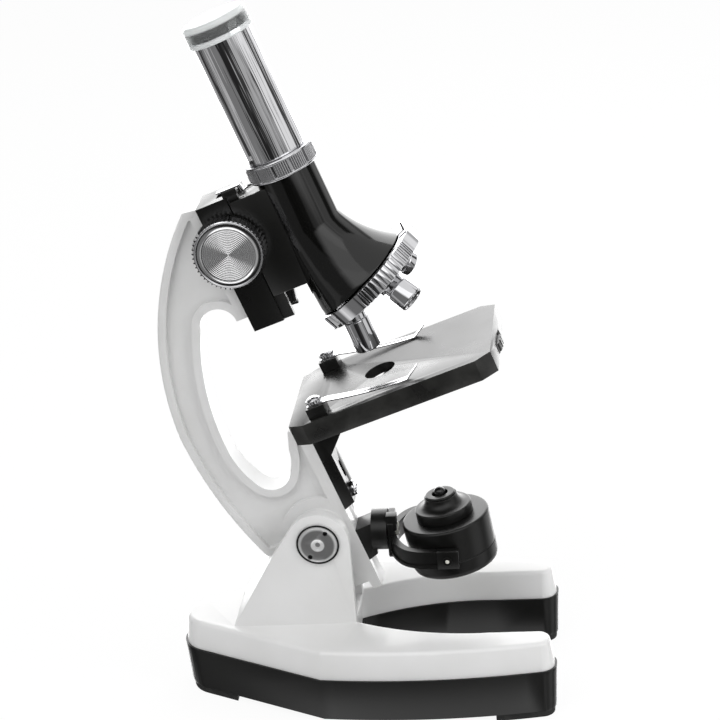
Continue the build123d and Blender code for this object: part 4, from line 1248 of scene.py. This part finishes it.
@dataclass
class Stage:
    """Stage with clip posts, knurled screws, bowed clips and the aperture wheel.

    Clip lengths run from the post's middle towards the tip; heights are above the post's top.
    """

    seat: float = 46.3          # underside of the leaf on its post, up the limb's axis
    leaf: float = 0.35          # its thickness
    heel: float = 2.4           # it starts this far behind the post's middle
    flat: float = 4.2           # here it leaves the post
    bend: float = 29.0          # here it turns up again
    tip: float = 33.4
    drop: float = 3.4           # how far the bow comes down
    bow: float = 1.7            # exponent of the bow; 1 is straight
    lift: float = 2.9           # rise from the bend to the tip
    drift: float = 1.7          # how far the tip lies towards the stage's middle
    half: float = 1.9           # half width on the post
    taper: float = 0.6          # what the half width loses up to the tip
    slot: tuple[float, float] = (16.5, 26.0)
    slot_half: float = 0.42
    screw_radius: float = 2.2

    def rise(self, along: float) -> float:
        """Height of the leaf's underside: flat on the post, bowed down to the stage, then bent up.

        Args:
            along: length from the post's middle.

        Returns:
            The height, in millimetres.
        """
        if along <= self.flat:
            return 0.0
        if along <= self.bend:
            share = (along - self.flat) / (self.bend - self.flat)
            return -self.drop * (1 - (1 - share) ** self.bow)
        return -self.drop + self.lift * (along - self.bend) / (self.tip - self.bend)

    def clip(self, post: Axes, inward: int) -> bmesh.types.BMesh:
        """Spring leaf with a slot along its front half.

        Args:
            post: axes at the post, at the leaf's seat.
            inward: 1 if the middle of the stage lies along the across axis, else -1.

        Returns:
            The mesh, in the row frame.
        """
        steps = [-self.heel, -self.heel + 0.2, -self.heel + 0.6, 0.0, self.heel, self.flat]
        steps += [self.flat + (self.bend - self.flat) * k / 20 for k in range(1, 21)]
        steps += [self.bend + 0.5, self.tip - 0.6, self.tip]
        mesh = bmesh.new()
        rows = []
        for along in steps:
            share = max(0.0, along - self.flat) / (self.tip - self.flat)
            half = self.half - self.taper * share
            # the corners of both ends are cut off
            if along < 0.4 - self.heel:
                half -= 0.5 * (0.4 - self.heel - along) / 0.4
            if along > self.tip - 0.3:
                half -= 0.35
            middle = inward * self.drift * share
            columns = (-half, -self.slot_half, self.slot_half, half)
            rows.append([mesh.verts.new(post.at(along, middle + w, self.rise(along))) for w in columns])
        for before, after, start, end in zip(rows, rows[1:], steps, steps[1:]):
            for k in range(3):
                if k != 1 or end <= self.slot[0] or start >= self.slot[1]:
                    mesh.faces.new((before[k], after[k], after[k + 1], before[k + 1]))
        bmesh.ops.recalc_face_normals(mesh, faces=mesh.faces)
        sheet = mesh.faces[:]
        raised = bmesh.ops.duplicate(mesh, geom=mesh.verts[:] + mesh.edges[:] + sheet)
        twins = {old: new for old, new in raised["vert_map"].items() if isinstance(old, bmesh.types.BMVert)}
        rim = [edge for face in sheet for edge in face.edges if len(edge.link_faces) == 1]
        originals = {vert for row in rows for vert in row}
        for edge in rim:
            a, b = edge.verts
            mesh.faces.new((a, b, twins[b], twins[a]))
        for vert in originals:
            twins[vert].co += post.up * self.leaf * MM
        bmesh.ops.recalc_face_normals(mesh, faces=mesh.faces)
        return mesh

    def build(self, kit: Dresser, layout: Layout) -> None:
        """Dresses the stage.

        Args:
            kit: makes and finishes the pieces.
            layout: places of the joints.
        """
        kit.skin("stage", STAGE_BLACK, Body.LIMB, 0.5)
        ribs = RimRibs()
        for side, body, inward in (("near", Body.NEAR_CLIP, 1), ("far", Body.FAR_CLIP, -1)):
            joint = Vector(layout.joints[f"clip_{side}_swing"]["pos_m"])
            rest = (joint - layout.limb.origin).dot(layout.limb.up) / MM
            post = Axes(joint, layout.limb.side, layout.limb.up).moved(0, 0, self.seat - rest)
            kit.skin(f"clip_post_{side}", BLACK_HOUSING, Body.LIMB, 0.25)
            kit.piece(f"clip_{side}_leaf", self.clip(post, inward), STRIP, body, [f"clip_{side}"], sharp=40)
            head = post.moved(0, 0, self.leaf + 0.05)
            radius = self.screw_radius
            dome = (
                (0.0, 0.0), (radius - 0.2, 0.0), (radius, 0.25), (radius, 1.2), (radius - 0.3, 1.6),
                (radius * 0.55, 1.95), (0.35, 2.05), (0.0, 1.75),
            )
            kit.piece(f"clip_{side}_head", lathe(head, dome, 48), CHROME, Body.LIMB, [f"clip_screw_{side}"])
            knurl = ribs.run(
                {
                    "Count": 20,
                    "Radius": radius,
                    "Rib Radius": 0.2,
                    "Length": 1.0,
                    "Sides": 6,
                    "Material": CHROME.build(),
                },
                head.moved(0, 0, 0.75).matrix(),
            )
            kit.settle(f"clip_{side}_knurl", knurl, CHROME, Body.LIMB)
        kit.skin("aperture_wheel", BLACK_HOUSING, Body.WHEEL, 0.15)
        kit.paint("wheel_pin", STEEL)


@dataclass
class Head:
    """Body tube with flared nose, chrome eyepiece tube, eyepiece and cap, on its slide block.

    Heights are measured up the optical axis from the apex where it meets the turret's axis.
    """

    tube_top: float = 17.0
    collar_radius: float = 10.55
    collar_height: float = 5.8
    collar_ribs: int = 96
    rib_radius: float = 0.36
    rib_group: int = 8          # of each group of ribs the last is left out
    barrel_radius: float = 9.25
    barrel_top: float = 60.7
    neck_radius: float = 7.5
    eye_radius: float = 8.9
    eye_top: float = 66.1
    cap_radius: float = 10.1
    cap_wall: float = 0.9
    cap_top: float = 67.6
    cap_height: float = 6.2
    carriage: tuple[float, float, float, float, float, float] = (20.9, 33.0, 5.85, 7.0, 79.0, 110.9)
    lip: float = 1.9            # chrome that shows below the black eyepiece, under the cap
    tube_bore: float = 6.3
    barrel_bore: float = 7.8    # wider bore that takes the eyepiece
    eyepiece_depth: float = 24.0
    tongue_top: float = 78.9    # what lies lower on the block than this is the tongue
    tongue_middle: float = 26.4     # between its back and its front in the frame
    tongue_back: float = 24.2
    tongue_depth: float = 1.4

    def tongue(self, mesh: bmesh.types.BMesh, limb: Axes) -> None:
        """Moves the guide tongue below the slide block back against the rails.

        Args:
            mesh: copy of the slide block.
            limb: axes of the limb.
        """
        for vert in mesh.verts:
            if (vert.co - limb.origin).dot(limb.up) < self.tongue_top * MM:
                ahead = (vert.co - limb.origin).dot(limb.side) / MM
                goal = self.tongue_back + self.tongue_depth * (ahead > self.tongue_middle)
                vert.co += limb.side * (goal - ahead) * MM

    def cheeks(self, kit: Dresser, layout: Layout) -> None:
        """Side walls of the carriage, which run over the rails of the housing.

        Args:
            kit: makes and finishes the pieces.
            layout: places of the joints.
        """
        back, front, inner, outer, low, high = self.carriage
        for side, sign in (("near", -1), ("far", 1)):
            outline = [
                (back, sign * inner), (front, sign * inner), (front, sign * outer), (back, sign * outer)
            ]
            wall = prism(layout.limb, outline, low, high)
            kit.piece(f"carriage_{side}", wall, BLACK_HOUSING, Body.HEAD)

    def collar(self, kit: Dresser, layout: Layout) -> None:
        """Chrome collar: a smooth ring with a bead above and below, and ribs between them.

        Args:
            kit: makes and finishes the pieces.
            layout: places of the joints.
        """
        low, high = self.tube_top + 0.05, self.tube_top + self.collar_height
        core = self.collar_radius - 0.1
        bead = self.collar_radius + self.rib_radius + 0.02
        profile = (
            (self.neck_radius + 0.1, low),
            (bead - 0.25, low),
            (bead, low + 0.3),
            (bead, low + 0.7),
            (core, low + 0.9),
            (core, high - 0.9),
            (bead, high - 0.7),
            (bead, high - 0.3),
            (bead - 0.25, high),
            (self.neck_radius + 0.1, high),
        )
        kit.turned("collar_ring", layout.optical, profile, CHROME, Body.HEAD, ["tube_collar"], 0.15)
        ribs = RimRibs().run(
            {
                "Count": self.collar_ribs,
                "Radius": self.collar_radius,
                "Rib Radius": self.rib_radius,
                "Length": self.collar_height - 1.5,
                "Sides": 10,
                "Group": self.rib_group,
                "Kept": self.rib_group - 1,
                "Material": CHROME.build(),
            },
            layout.optical.moved(0, 0, (low + high) / 2).matrix(),
        )
        kit.settle("collar_ribs", ribs, CHROME, Body.HEAD, sharp=50)

    def build(self, kit: Dresser, layout: Layout) -> None:
        """Dresses the head.

        Args:
            kit: makes and finishes the pieces.
            layout: places of the joints.
        """
        kit.skin(
            "slide_block", BLACK_HOUSING, Body.HEAD, 0.3, shape=lambda mesh: self.tongue(mesh, layout.limb)
        )
        self.cheeks(kit, layout)
        kit.paint("focus_rack", BRASS)
        kit.skin("head_tube", GLOSS_BLACK, Body.HEAD, 0.3)
        self.collar(kit, layout)
        axis = layout.optical
        shoulder = self.tube_top + self.collar_height + 0.05
        barrel = (
            (self.tube_bore, 8.0),
            (self.neck_radius, 8.0),
            (self.neck_radius, shoulder),
            (self.barrel_radius, shoulder),
            (self.barrel_radius, self.barrel_top + self.lip),
            (self.barrel_bore, self.barrel_top + self.lip),
            (self.barrel_bore, self.barrel_top - self.eyepiece_depth - 2),
            (self.tube_bore, self.barrel_top - self.eyepiece_depth - 2),
        )
        kit.turned("eyepiece_barrel", axis, barrel, CHROME_TUBE, Body.HEAD, ["eyepiece_tube"], 0.2, 192)
        eye = (
            (6.6, self.barrel_top - self.eyepiece_depth),
            (self.barrel_bore - 0.05, self.barrel_top - self.eyepiece_depth),
            (self.barrel_bore - 0.05, self.barrel_top + self.lip + 0.02),
            (self.eye_radius, self.barrel_top + self.lip + 0.02),
            (self.eye_radius, self.barrel_top + self.lip + 0.4),
            (self.eye_radius, self.eye_top - 1),
            (self.eye_radius - 1, self.eye_top),
            (5.6, self.eye_top),
            (5.0, self.eye_top - 1.8),
            (5.0, self.eye_top - 4),
            (6.6, self.eye_top - 4),
        )
        kit.turned("eyepiece_body", axis, eye, GLOSS_BLACK, Body.HEAD, ["eyepiece"], 0.2)
        kit.skin("eye_lens", LENS, Body.HEAD, 0.1)
        inner, low = self.cap_radius - self.cap_wall, self.cap_top - self.cap_height - 0.3
        cap = (
            (0.0, self.cap_top - self.cap_wall),
            (inner - 0.6, self.cap_top - self.cap_wall),
            (inner, self.cap_top - self.cap_wall - 0.6),
            (inner, low + 0.5),
            (inner + 0.2, low),
            (self.cap_radius - 0.15, low),
            (self.cap_radius, low + 0.3),
            (self.cap_radius, low + 0.9),
            (self.cap_radius - 0.12, low + 1.05),
            (self.cap_radius - 0.12, self.cap_top - 0.9),
            (self.cap_radius - 0.9, self.cap_top),
            (0.0, self.cap_top),
        )
        thin = self.barrel_top + self.lip - 0.4
        frost = Frosted("polypropylene_frosted", tuple(axis.origin), tuple(axis.up), thin, self.eye_top)
        kit.piece("cap_body", lathe(axis, soften(cap, 0.3), 144), frost, Body.CAP, ["eyepiece_cap"])
        kit.skin("click_spring", STRIP, Body.HEAD, 0.05)
        kit.skin("turret_screw", CHROME, Body.HEAD, 0.1)


@dataclass
class Knobs:
    """Focus shaft with its pinion and the two knurled knobs; distances run outward along the shaft."""

    inside: float = 7.8
    outside: float = 14.3
    rim: float = 11.2
    root: float = 10.35
    teeth: int = 48
    tooth: float = 0.85
    recess: float = 9.7
    plate: float = 9.6
    disc: float = 8.1
    rings: int = 15
    ring_depth: float = 0.13

    def plate_profile(self) -> list[tuple[float, float]]:
        """Section of the pressed plate: fine turned rings inside a flat margin.

        Returns:
            Radius and distance of each point, from the margin to the centre.
        """
        face = self.outside - 0.55
        points = [(self.plate, self.outside - 1.2), (self.plate, face), (self.disc + 0.25, face)]
        points += [(self.disc + 0.15, face + 0.16), (self.disc, face + 0.16)]
        first, count = self.disc - 0.15, self.rings * 8
        for step in range(count + 1):
            radius = first * (1 - step / count)
            wave = (0.5 - 0.5 * math.cos(2 * math.pi * self.rings * step / count)) ** 1.6
            points.append((max(radius, 0.0), face + 0.1 - self.ring_depth * wave))
        return points

    def build(self, kit: Dresser, layout: Layout) -> None:
        """Dresses the knobs.

        Args:
            kit: makes and finishes the pieces.
            layout: places of the joints.
        """
        kit.paint("focus_shaft", STEEL)
        body = (
            (2.02, self.inside),
            (self.root, self.inside),
            (self.root, self.outside - 0.9),
            (self.rim - 0.7, self.outside - 0.9),
            (self.rim - 0.7, self.outside - 0.45),
            (self.rim - 0.9, self.outside),
            (self.recess + 0.3, self.outside),
            (self.recess, self.outside - 0.5),
            (self.recess, self.outside - 1.2),
            (2.02, self.outside - 1.2),
        )
        ribs = RimRibs()
        for side, sign in (("near", -1), ("far", 1)):
            axes = Axes(layout.knob, layout.limb.side, Vector((0, sign, 0)))
            kit.turned(f"knob_{side}_body", axes, body, CHROME, Body.KNOB, [f"knob_{side}"], 0.25)
            length = self.outside - self.inside - 0.9
            teeth = ribs.run(
                {
                    "Count": self.teeth,
                    "Radius": self.root,
                    "Rib Radius": self.tooth,
                    "Length": length,
                    "Sides": 3,
                    "Material": CHROME.build(),
                },
                axes.moved(0, 0, self.inside + length / 2).matrix(),
            )
            kit.settle(f"knob_{side}_teeth", teeth, CHROME, Body.KNOB)
            plate = lathe(axes, self.plate_profile(), 144)
            kit.piece(f"knob_{side}_plate", plate, PLATE, Body.KNOB, [f"knob_plate_{side}"], sharp=60)


@dataclass
class Nosepiece:
    """Turret with three objectives; their heights run down from the apex."""

    seat_end: float = 32.5
    neck: float = 3.7
    step: float = 1.9
    barrels: tuple[tuple[str, float, float], ...] = (      # name, end and radius
        ("long", 44.8, 4.1), ("mid", 40.4, 4.2), ("short", 37.2, 4.0),
    )

    def lenses(self, layout: Layout) -> bmesh.types.BMesh:
        """Front lenses of all three objectives, each slightly hollow.

        Args:
            layout: places of the joints.

        Returns:
            One mesh, in the row frame.
        """
        joined = bmesh.new()
        for index, (name, end, _) in enumerate(self.barrels):
            face, back = -end + 0.75, -end + 1.3
            section = ((0.0, face), (0.9, face + 0.05), (1.7, face + 0.15), (1.75, back), (0.0, back))
            part = lathe(layout.objective(index), section, 48)
            data = bpy.data.meshes.new(f"lens_{name}")
            part.to_mesh(data)
            part.free()
            joined.from_mesh(data)
            bpy.data.meshes.remove(data)
        return joined

    def build(self, kit: Dresser, layout: Layout) -> None:
        """Dresses the turret.

        Args:
            kit: makes and finishes the pieces.
            layout: places of the joints.
        """
        kit.skin("turret", CHROME, Body.NOSEPIECE, 0.12)
        for index, (name, end, radius) in enumerate(self.barrels):
            seat = self.seat_end
            outline = (
                (2.2, -seat + 3),
                (self.neck, -seat + 3),
                (self.neck, -seat - self.step),
                (radius - 0.15, -seat - self.step - 0.15),
                (radius, -seat - self.step - 0.5),
                (radius, -end + 0.35),
                (radius - 0.4, -end),
                (radius - 0.9, -end),
                (radius - 1.1, -end + 0.5),
                (1.8, -end + 0.7),
                (1.8, -end + 1.4),
                (2.2, -end + 1.4),
            )
            kit.turned(
                f"objective_{name}_barrel", layout.objective(index), outline, CHROME, Body.NOSEPIECE,
                [f"objective_{name}"], 0.15, 96,
            )
        kit.piece("front_lenses", self.lenses(layout), LENS, Body.NOSEPIECE, ["objective_lenses"])


@dataclass
class Lamp:
    """Lamp in its fork, with the mirror on its back; heights run up the lamp's own axis from its pins."""

    radius: float = 13.9
    wall: float = 1.6
    high: float = 7.9
    seam: float = -3.0
    low: float = -9.0
    skirt_radius: float = 9.0
    skirt_top: float = 11.3
    neck_radius: float = 4.8
    neck_top: float = 15.4
    bulb_radius: float = 1.85
    arm_line: tuple[tuple[float, float], ...] = (
        (27.0, 16.2), (19.8, 16.0), (15.6, 14.2), (12.9, 10.8), (11.1, 6.6), (10.1, 3.0), (10.0, 0.0),
    )
    arm_level: float = 50.2
    arm_section: tuple[tuple[float, float], ...] = (       # inward from the line, and up from the level
        (1.1, -2.9), (-1.1, -2.9), (-1.1, -2.0), (-0.55, -1.8), (-0.55, 1.8), (-1.1, 2.0), (-1.1, 2.9),
        (1.1, 2.9),
    )
    # outlines seen along X: the right half of the plate, and the hook; seen along Y: an end block
    plate_half: tuple[tuple[float, float], ...] = ((4.4, 45.3), (5.4, 46.3), (5.4, 57.2), (4.2, 58.4))
    hook: tuple[tuple[float, float], ...] = ((-5.2, 54.8), (-1.6, 54.8), (-1.6, 60.0), (-5.2, 60.0))
    block: tuple[tuple[float, float], ...] = ((25.1, 47.2), (31.9, 47.2), (31.9, 53.2), (25.1, 53.2))

    def fork(self, kit: Dresser) -> None:
        """Bent arms with a rib along each edge, their end blocks and the plate that swivels on the hub.

        Args:
            kit: makes and finishes the pieces.
        """
        half = soften(self.arm_line, 2.6, 5)
        line = [(x, -y) for x, y in half] + [(x, y) for x, y in reversed(half[:-1])]
        arms = swept(line, self.arm_section, self.arm_level)
        kit.piece("fork_arms", arms, BLACK_LAMP, Body.FORK, ["lamp_fork"], sharp=25)
        ahead = Axes(Vector((0, 0, 0)), Vector((0, 1, 0)), Vector((1, 0, 0)))
        plate = [*self.plate_half, *((-y, z) for y, z in reversed(self.plate_half))]
        kit.piece("fork_plate", prism(ahead, plate, 8.85, 11.0), BLACK_LAMP, Body.FORK)
        kit.piece("fork_hook", prism(ahead, self.hook, 8.7, 12.0), BLACK_LAMP, Body.FORK)
        for side, sign in (("near", -1), ("far", 1)):
            across = Axes(Vector((0, 0, 0)), Vector((1, 0, 0)), Vector((0, sign, 0)))
            rise = 1 if across.up.cross(across.side).z > 0 else -1
            end = prism(across, [(x, rise * z) for x, z in self.block], 14.7, 17.6)
            kit.piece(f"fork_end_{side}", end, BLACK_LAMP, Body.FORK)

    def flare(self) -> list[tuple[float, float]]:
        """Section of the plate round the bulb holder, which sweeps up into the neck.

        Returns:
            Corners of the closed section, radius and height.
        """
        foot, steps = self.high + 0.02, 9
        out = [(self.neck_radius + 0.05, foot), (self.skirt_radius, foot)]
        out += [(self.skirt_radius, self.skirt_top - 0.3), (self.skirt_radius - 0.3, self.skirt_top)]
        reach, climb = self.skirt_radius - 0.3 - self.neck_radius - 0.45, self.neck_top - 0.8 - self.skirt_top
        for step in range(1, steps + 1):
            angle = math.pi / 2 * step / steps
            out.append(
                (
                    self.skirt_radius - 0.3 - reach * math.sin(angle),
                    self.skirt_top + climb * (1 - math.cos(angle)),
                )
            )
        out.append((self.neck_radius + 0.05, self.neck_top - 0.8))
        return out

    def build(self, kit: Dresser, layout: Layout) -> None:
        """Dresses the lamp.

        Args:
            kit: makes and finishes the pieces.
            layout: places of the joints.
        """
        axis = layout.lamp
        self.fork(kit)
        kit.skin("fork_screw", NYLON, Body.FORK, 0.1)
        inner = self.radius - self.wall
        shell = (
            (5.3, self.high - self.wall),
            (inner, self.high - self.wall),
            (inner, self.seam),
            (self.radius - 0.15, self.seam),
            (self.radius, self.seam + 0.15),
            (self.radius, self.high - 0.5),
            (self.radius - 0.5, self.high),
            (5.3, self.high),
        )
        kit.turned("lamp_shell", axis, shell, BLACK_LAMP, Body.LAMP, ["lamp_body"], 0.3, 192)
        lid = (
            (0.0, self.low + 1.0),
            (11.2, self.low + 1.0),
            (11.2, self.low),
            (self.radius - 2.0, self.low),
            (self.radius - 0.5, self.low + 0.7),
            (self.radius, self.low + 2.0),
            (self.radius, self.seam - 0.25),
            (self.radius - 0.15, self.seam - 0.05),
            (inner, self.seam - 0.05),
            (inner, self.low + 3),
            (0.0, self.low + 3),
        )
        kit.piece("lamp_cover", lathe(axis, soften(lid, 0.4), 192), BLACK_LAMP, Body.LAMP, ["lamp_lid"])
        kit.turned("lamp_skirt", axis, self.flare(), BLACK_LAMP, Body.LAMP, ["lamp_ring"], 0.25, 144)
        hole = self.bulb_radius + 0.7
        holder = (
            (hole, self.high - self.wall - 1),
            (5.25, self.high - self.wall - 1),
            (5.25, self.high),
            (self.neck_radius, self.high),
            (self.neck_radius, self.neck_top - 0.3),
            (self.neck_radius - 0.3, self.neck_top),
            (hole, self.neck_top),
        )
        kit.turned("lamp_holder", axis, holder, BLACK_LAMP, Body.LAMP, ["lamp_socket"], 0.2, 96)
        dome = self.neck_top + 0.2
        bead = [(0.0, 3.5), (hole - 0.05, 3.5), (hole - 0.05, dome - 3.2), (self.bulb_radius, dome - 2.8)]
        for step in range(9):
            angle = math.pi / 2 * step / 8
            bead.append((self.bulb_radius * math.cos(angle), dome + self.bulb_radius * math.sin(angle)))
        bead[-1] = (0.0, dome + self.bulb_radius)
        kit.piece("bulb_bead", lathe(axis, bead, 48), BULB_DARK, Body.LAMP, ["bulb"])
        kit.skin("mirror", MIRROR, Body.LAMP, 0.1)
        kit.skin("lamp_pins", BLACK_LAMP, Body.LAMP, 0.1)
        for side, sign in (("near", -1), ("far", 1)):
            pin = Axes(axis.origin, Vector((1, 0, 0)), Vector((0, sign, 0)))
            tip = ((0.0, 17.0), (0.62, 17.0), (0.62, 18.0), (0.4, 18.2), (0.0, 18.25))
            kit.piece(f"pin_end_{side}", lathe(pin, tip, 32), NYLON, Body.LAMP)
        kit.paint("lamp_cells", STEEL)


# ------------------------------------------------------------------------------ studio
# azimuth in degrees from +X and brightness of the cloth there; the camera stands at about -82
TENT_LEVELS = (
    (-180, 0.04), (-178, 0.22), (-163, 0.22), (-159, 0.5), (-149, 0.5), (-145, 0.2), (-111, 0.2),
    (-108, 0.02),
    (-87, 0.02), (-84, 0.045), (-74, 0.045), (-70, 0.36), (-49, 0.5), (-45, 0.19), (-41, 0.38), (-38, 0.38),
    (-34, 0.05), (-30, 0.05), (-26, 0.85), (2, 0.85), (7, 0.065), (22, 0.065), (34, 1.1), (48, 1.1),
    (54, 0.5),
    (59, 0.6), (63, 3.6), (127, 3.6), (132, 0.55), (143, 0.55), (153, 0.28), (166, 0.04),
)
TENT_PEAK = 3.6
TENT_TOP = 1.5


@dataclass
class Studio:
    """Camera, floor, backdrop cards and lights."""

    eye: tuple[float, float, float] = (84.2, -622.7, 368.1)
    target: tuple[float, float, float] = (7.6, 0.0, 112.0)
    roll: float = -5.07
    lens: float = 110.27
    shift: tuple[float, float] = (-0.01335, -0.0032)
    aim: float = 110.0          # height that the lights face
    surround: float = 0.54      # strength of the white surround as a light
    # radius, foot and top of the tent, in metres
    drum: tuple[float, float, float] = (1.5, -2.6, 2.2)

    def camera(self) -> None:
        """Sets the camera at the three-quarter side view."""
        eye, target = Vector(self.eye) * MM, Vector(self.target) * MM
        ahead = (target - eye).normalized()
        right = ahead.cross(Vector((0, 0, 1))).normalized()
        up = right.cross(ahead)
        tilt = math.radians(self.roll)
        turned_right = right * math.cos(tilt) + up * math.sin(tilt)
        turned_up = up * math.cos(tilt) - right * math.sin(tilt)
        data = bpy.data.cameras.new("camera")
        data.lens = self.lens
        data.sensor_width = 36.0
        data.shift_x, data.shift_y = self.shift
        data.clip_start = 0.01
        made = bpy.data.objects.new("camera", data)
        grid = Matrix((turned_right, turned_up, -ahead)).transposed().to_4x4()
        grid.translation = eye
        made.matrix_world = grid
        bpy.context.scene.collection.objects.link(made)
        bpy.context.scene.camera = made

    def panel(self, name: str, centre: Sequence[float], size: tuple[float, float], power: float) -> None:
        """Area light that faces the middle of the object.

        Args:
            name: the light's name.
            centre: its place, in millimetres.
            size: width and height, in millimetres.
            power: strength in watts.
        """
        data = bpy.data.lights.new(name, "AREA")
        data.shape = "RECTANGLE"
        data.size, data.size_y = size[0] * MM, size[1] * MM
        data.energy = power
        made = bpy.data.objects.new(name, data)
        place = Vector(centre) * MM
        made.location = place
        made.rotation_euler = (Vector((0, 0, self.aim * MM)) - place).to_track_quat("-Z", "Y").to_euler()
        made.visible_glossy = False
        bpy.context.scene.collection.objects.link(made)

    def tent(self) -> None:
        """Tall drum of light and dark cloth round the object, seen only in glossy surfaces."""
        mesh = bmesh.new()
        turns = 96
        radius, low, high = self.drum
        step = 2 * math.pi / turns
        rings = [
            [
                mesh.verts.new((radius * math.cos(step * k), radius * math.sin(step * k), height))
                for k in range(turns)
            ]
            for height in (low, high)
        ]
        for k in range(turns):
            nxt = (k + 1) % turns
            mesh.faces.new((rings[0][k], rings[1][k], rings[1][nxt], rings[0][nxt]))
        data = bpy.data.meshes.new("tent")
        mesh.to_mesh(data)
        mesh.free()
        made = Shader("tent_cloth")
        place = made.add("SeparateXYZ", {}, {"Vector": made.place()})
        turn = made.add(
            "Math", {"operation": "ARCTAN2"}, {0: place.outputs["Y"], 1: place.outputs["X"]}
        )
        share = made.add(
            "MapRange",
            {"From Min": -math.pi, "From Max": math.pi, "To Min": 0.0, "To Max": 1.0},
            {"Value": turn.outputs["Value"]},
        )
        stops = [((angle + 180) / 360, grey(level / TENT_PEAK)) for angle, level in TENT_LEVELS]
        bands = made.ramp(share.outputs["Result"], stops)
        # the camera's side of the drum is bright again above and below the middle
        above = made.add(
            "MapRange", {"From Min": 0.5, "From Max": 0.85, "To Max": TENT_TOP}, {"Value": place.outputs["Z"]}
        )
        below = made.add(
            "MapRange",
            {"From Min": -1.25, "From Max": -1.7, "To Max": TENT_TOP},
            {"Value": place.outputs["Z"]},
        )
        front = made.add("MapRange", {"From Min": -0.5, "From Max": -1.1}, {"Value": place.outputs["Y"]})
        both = made.add(
            "Math", {"operation": "ADD"}, {0: above.outputs["Result"], 1: below.outputs["Result"]}
        )
        more = made.add(
            "Math", {"operation": "MULTIPLY"}, {0: both.outputs["Value"], 1: front.outputs["Result"]}
        )
        level = made.add("RGBToBW", {}, {"Color": bands})
        whole = made.add(
            "Math",
            {"operation": "MULTIPLY_ADD", 1: TENT_PEAK},
            {0: level.outputs["Val"], 2: more.outputs["Value"]},
        )
        glow = made.add("Emission", {}, {"Strength": whole.outputs["Value"]})
        made.tree.links.new(glow.outputs[0], made.output.inputs["Surface"])
        data.materials.append(made.material)
        drum = bpy.data.objects.new("tent", data)
        bpy.context.scene.collection.objects.link(drum)
        drum.visible_camera = False
        drum.visible_diffuse = False
        drum.visible_shadow = False
        drum.visible_transmission = False

    def floor(self) -> None:
        """Pale floor that keeps a faint shadow and reads white to the camera."""
        mesh = bpy.data.meshes.new("floor")
        half = 3.0
        mesh.from_pydata(
            [(-half, -half, 0), (half, -half, 0), (half, half, 0), (-half, half, 0)], [], [(0, 1, 2, 3)]
        )
        material = bpy.data.materials.new("floor_paper")
        material.use_nodes = True
        tree = material.node_tree
        tree.nodes.clear()
        matt = add_node(tree, "ShaderNodeBsdfDiffuse", {"Color": grey(0.85)})
        glow = add_node(tree, "ShaderNodeEmission", {"Color": grey(1.03)})
        seen = add_node(tree, "ShaderNodeLightPath").outputs["Is Camera Ray"]
        share = add_node(tree, "ShaderNodeMath", {"operation": "MULTIPLY", 1: 0.9}, {0: seen})
        parts = {"Fac": share.outputs[0], 1: matt.outputs[0], 2: glow.outputs[0]}
        mix = add_node(tree, "ShaderNodeMixShader", {}, parts)
        add_node(tree, "ShaderNodeOutputMaterial", {}, {"Surface": mix.outputs[0]})
        mesh.materials.append(material)
        made = bpy.data.objects.new("floor", mesh)
        made.visible_glossy = False
        bpy.context.scene.collection.objects.link(made)

    def world(self) -> None:
        """White surround for the camera and for metal, dimmer as a light."""
        world = bpy.data.worlds.new("studio")
        world.use_nodes = True
        tree = world.node_tree
        tree.nodes.clear()
        rays = add_node(tree, "ShaderNodeLightPath").outputs
        share = rays["Is Camera Ray"]
        for other in ("Is Glossy Ray", "Is Transmission Ray"):
            either = add_node(tree, "ShaderNodeMath", {"operation": "MAXIMUM"}, {0: share, 1: rays[other]})
            share = either.outputs[0]
        level = add_node(
            tree, "ShaderNodeMapRange", {"To Min": self.surround, "To Max": 1.0}, {"Value": share}
        )
        back = add_node(
            tree, "ShaderNodeBackground", {"Color": grey(1.0)}, {"Strength": level.outputs["Result"]}
        )
        add_node(tree, "ShaderNodeOutputWorld", {}, {"Surface": back.outputs[0]})
        bpy.context.scene.world = world

    def build(self) -> None:
        """Sets up the whole studio."""
        self.camera()
        self.floor()
        self.world()
        self.panel("key", (-350, -500, 750), (500, 500), 2.15)
        self.panel("fill", (650, -250, 420), (500, 500), 2.3)
        self.panel("rim", (200, 600, 600), (600, 400), 1.5)
        self.tent()
        bpy.context.scene.view_settings.view_transform = "Standard"


def main() -> None:
    """Loads the frame, dresses every sub-assembly and sets up the studio."""
    logging.basicConfig(level=logging.INFO, format="%(name)s: %(message)s")
    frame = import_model()
    kit = Dresser(frame)
    layout = Layout(frame)
    Studio().build()
    Base().build(kit)
    Arm().build(kit, layout)
    Stage().build(kit, layout)
    Head().build(kit, layout)
    Knobs().build(kit, layout)
    Nosepiece().build(kit, layout)
    Lamp().build(kit, layout)


if __name__ == "__main__":
    main()
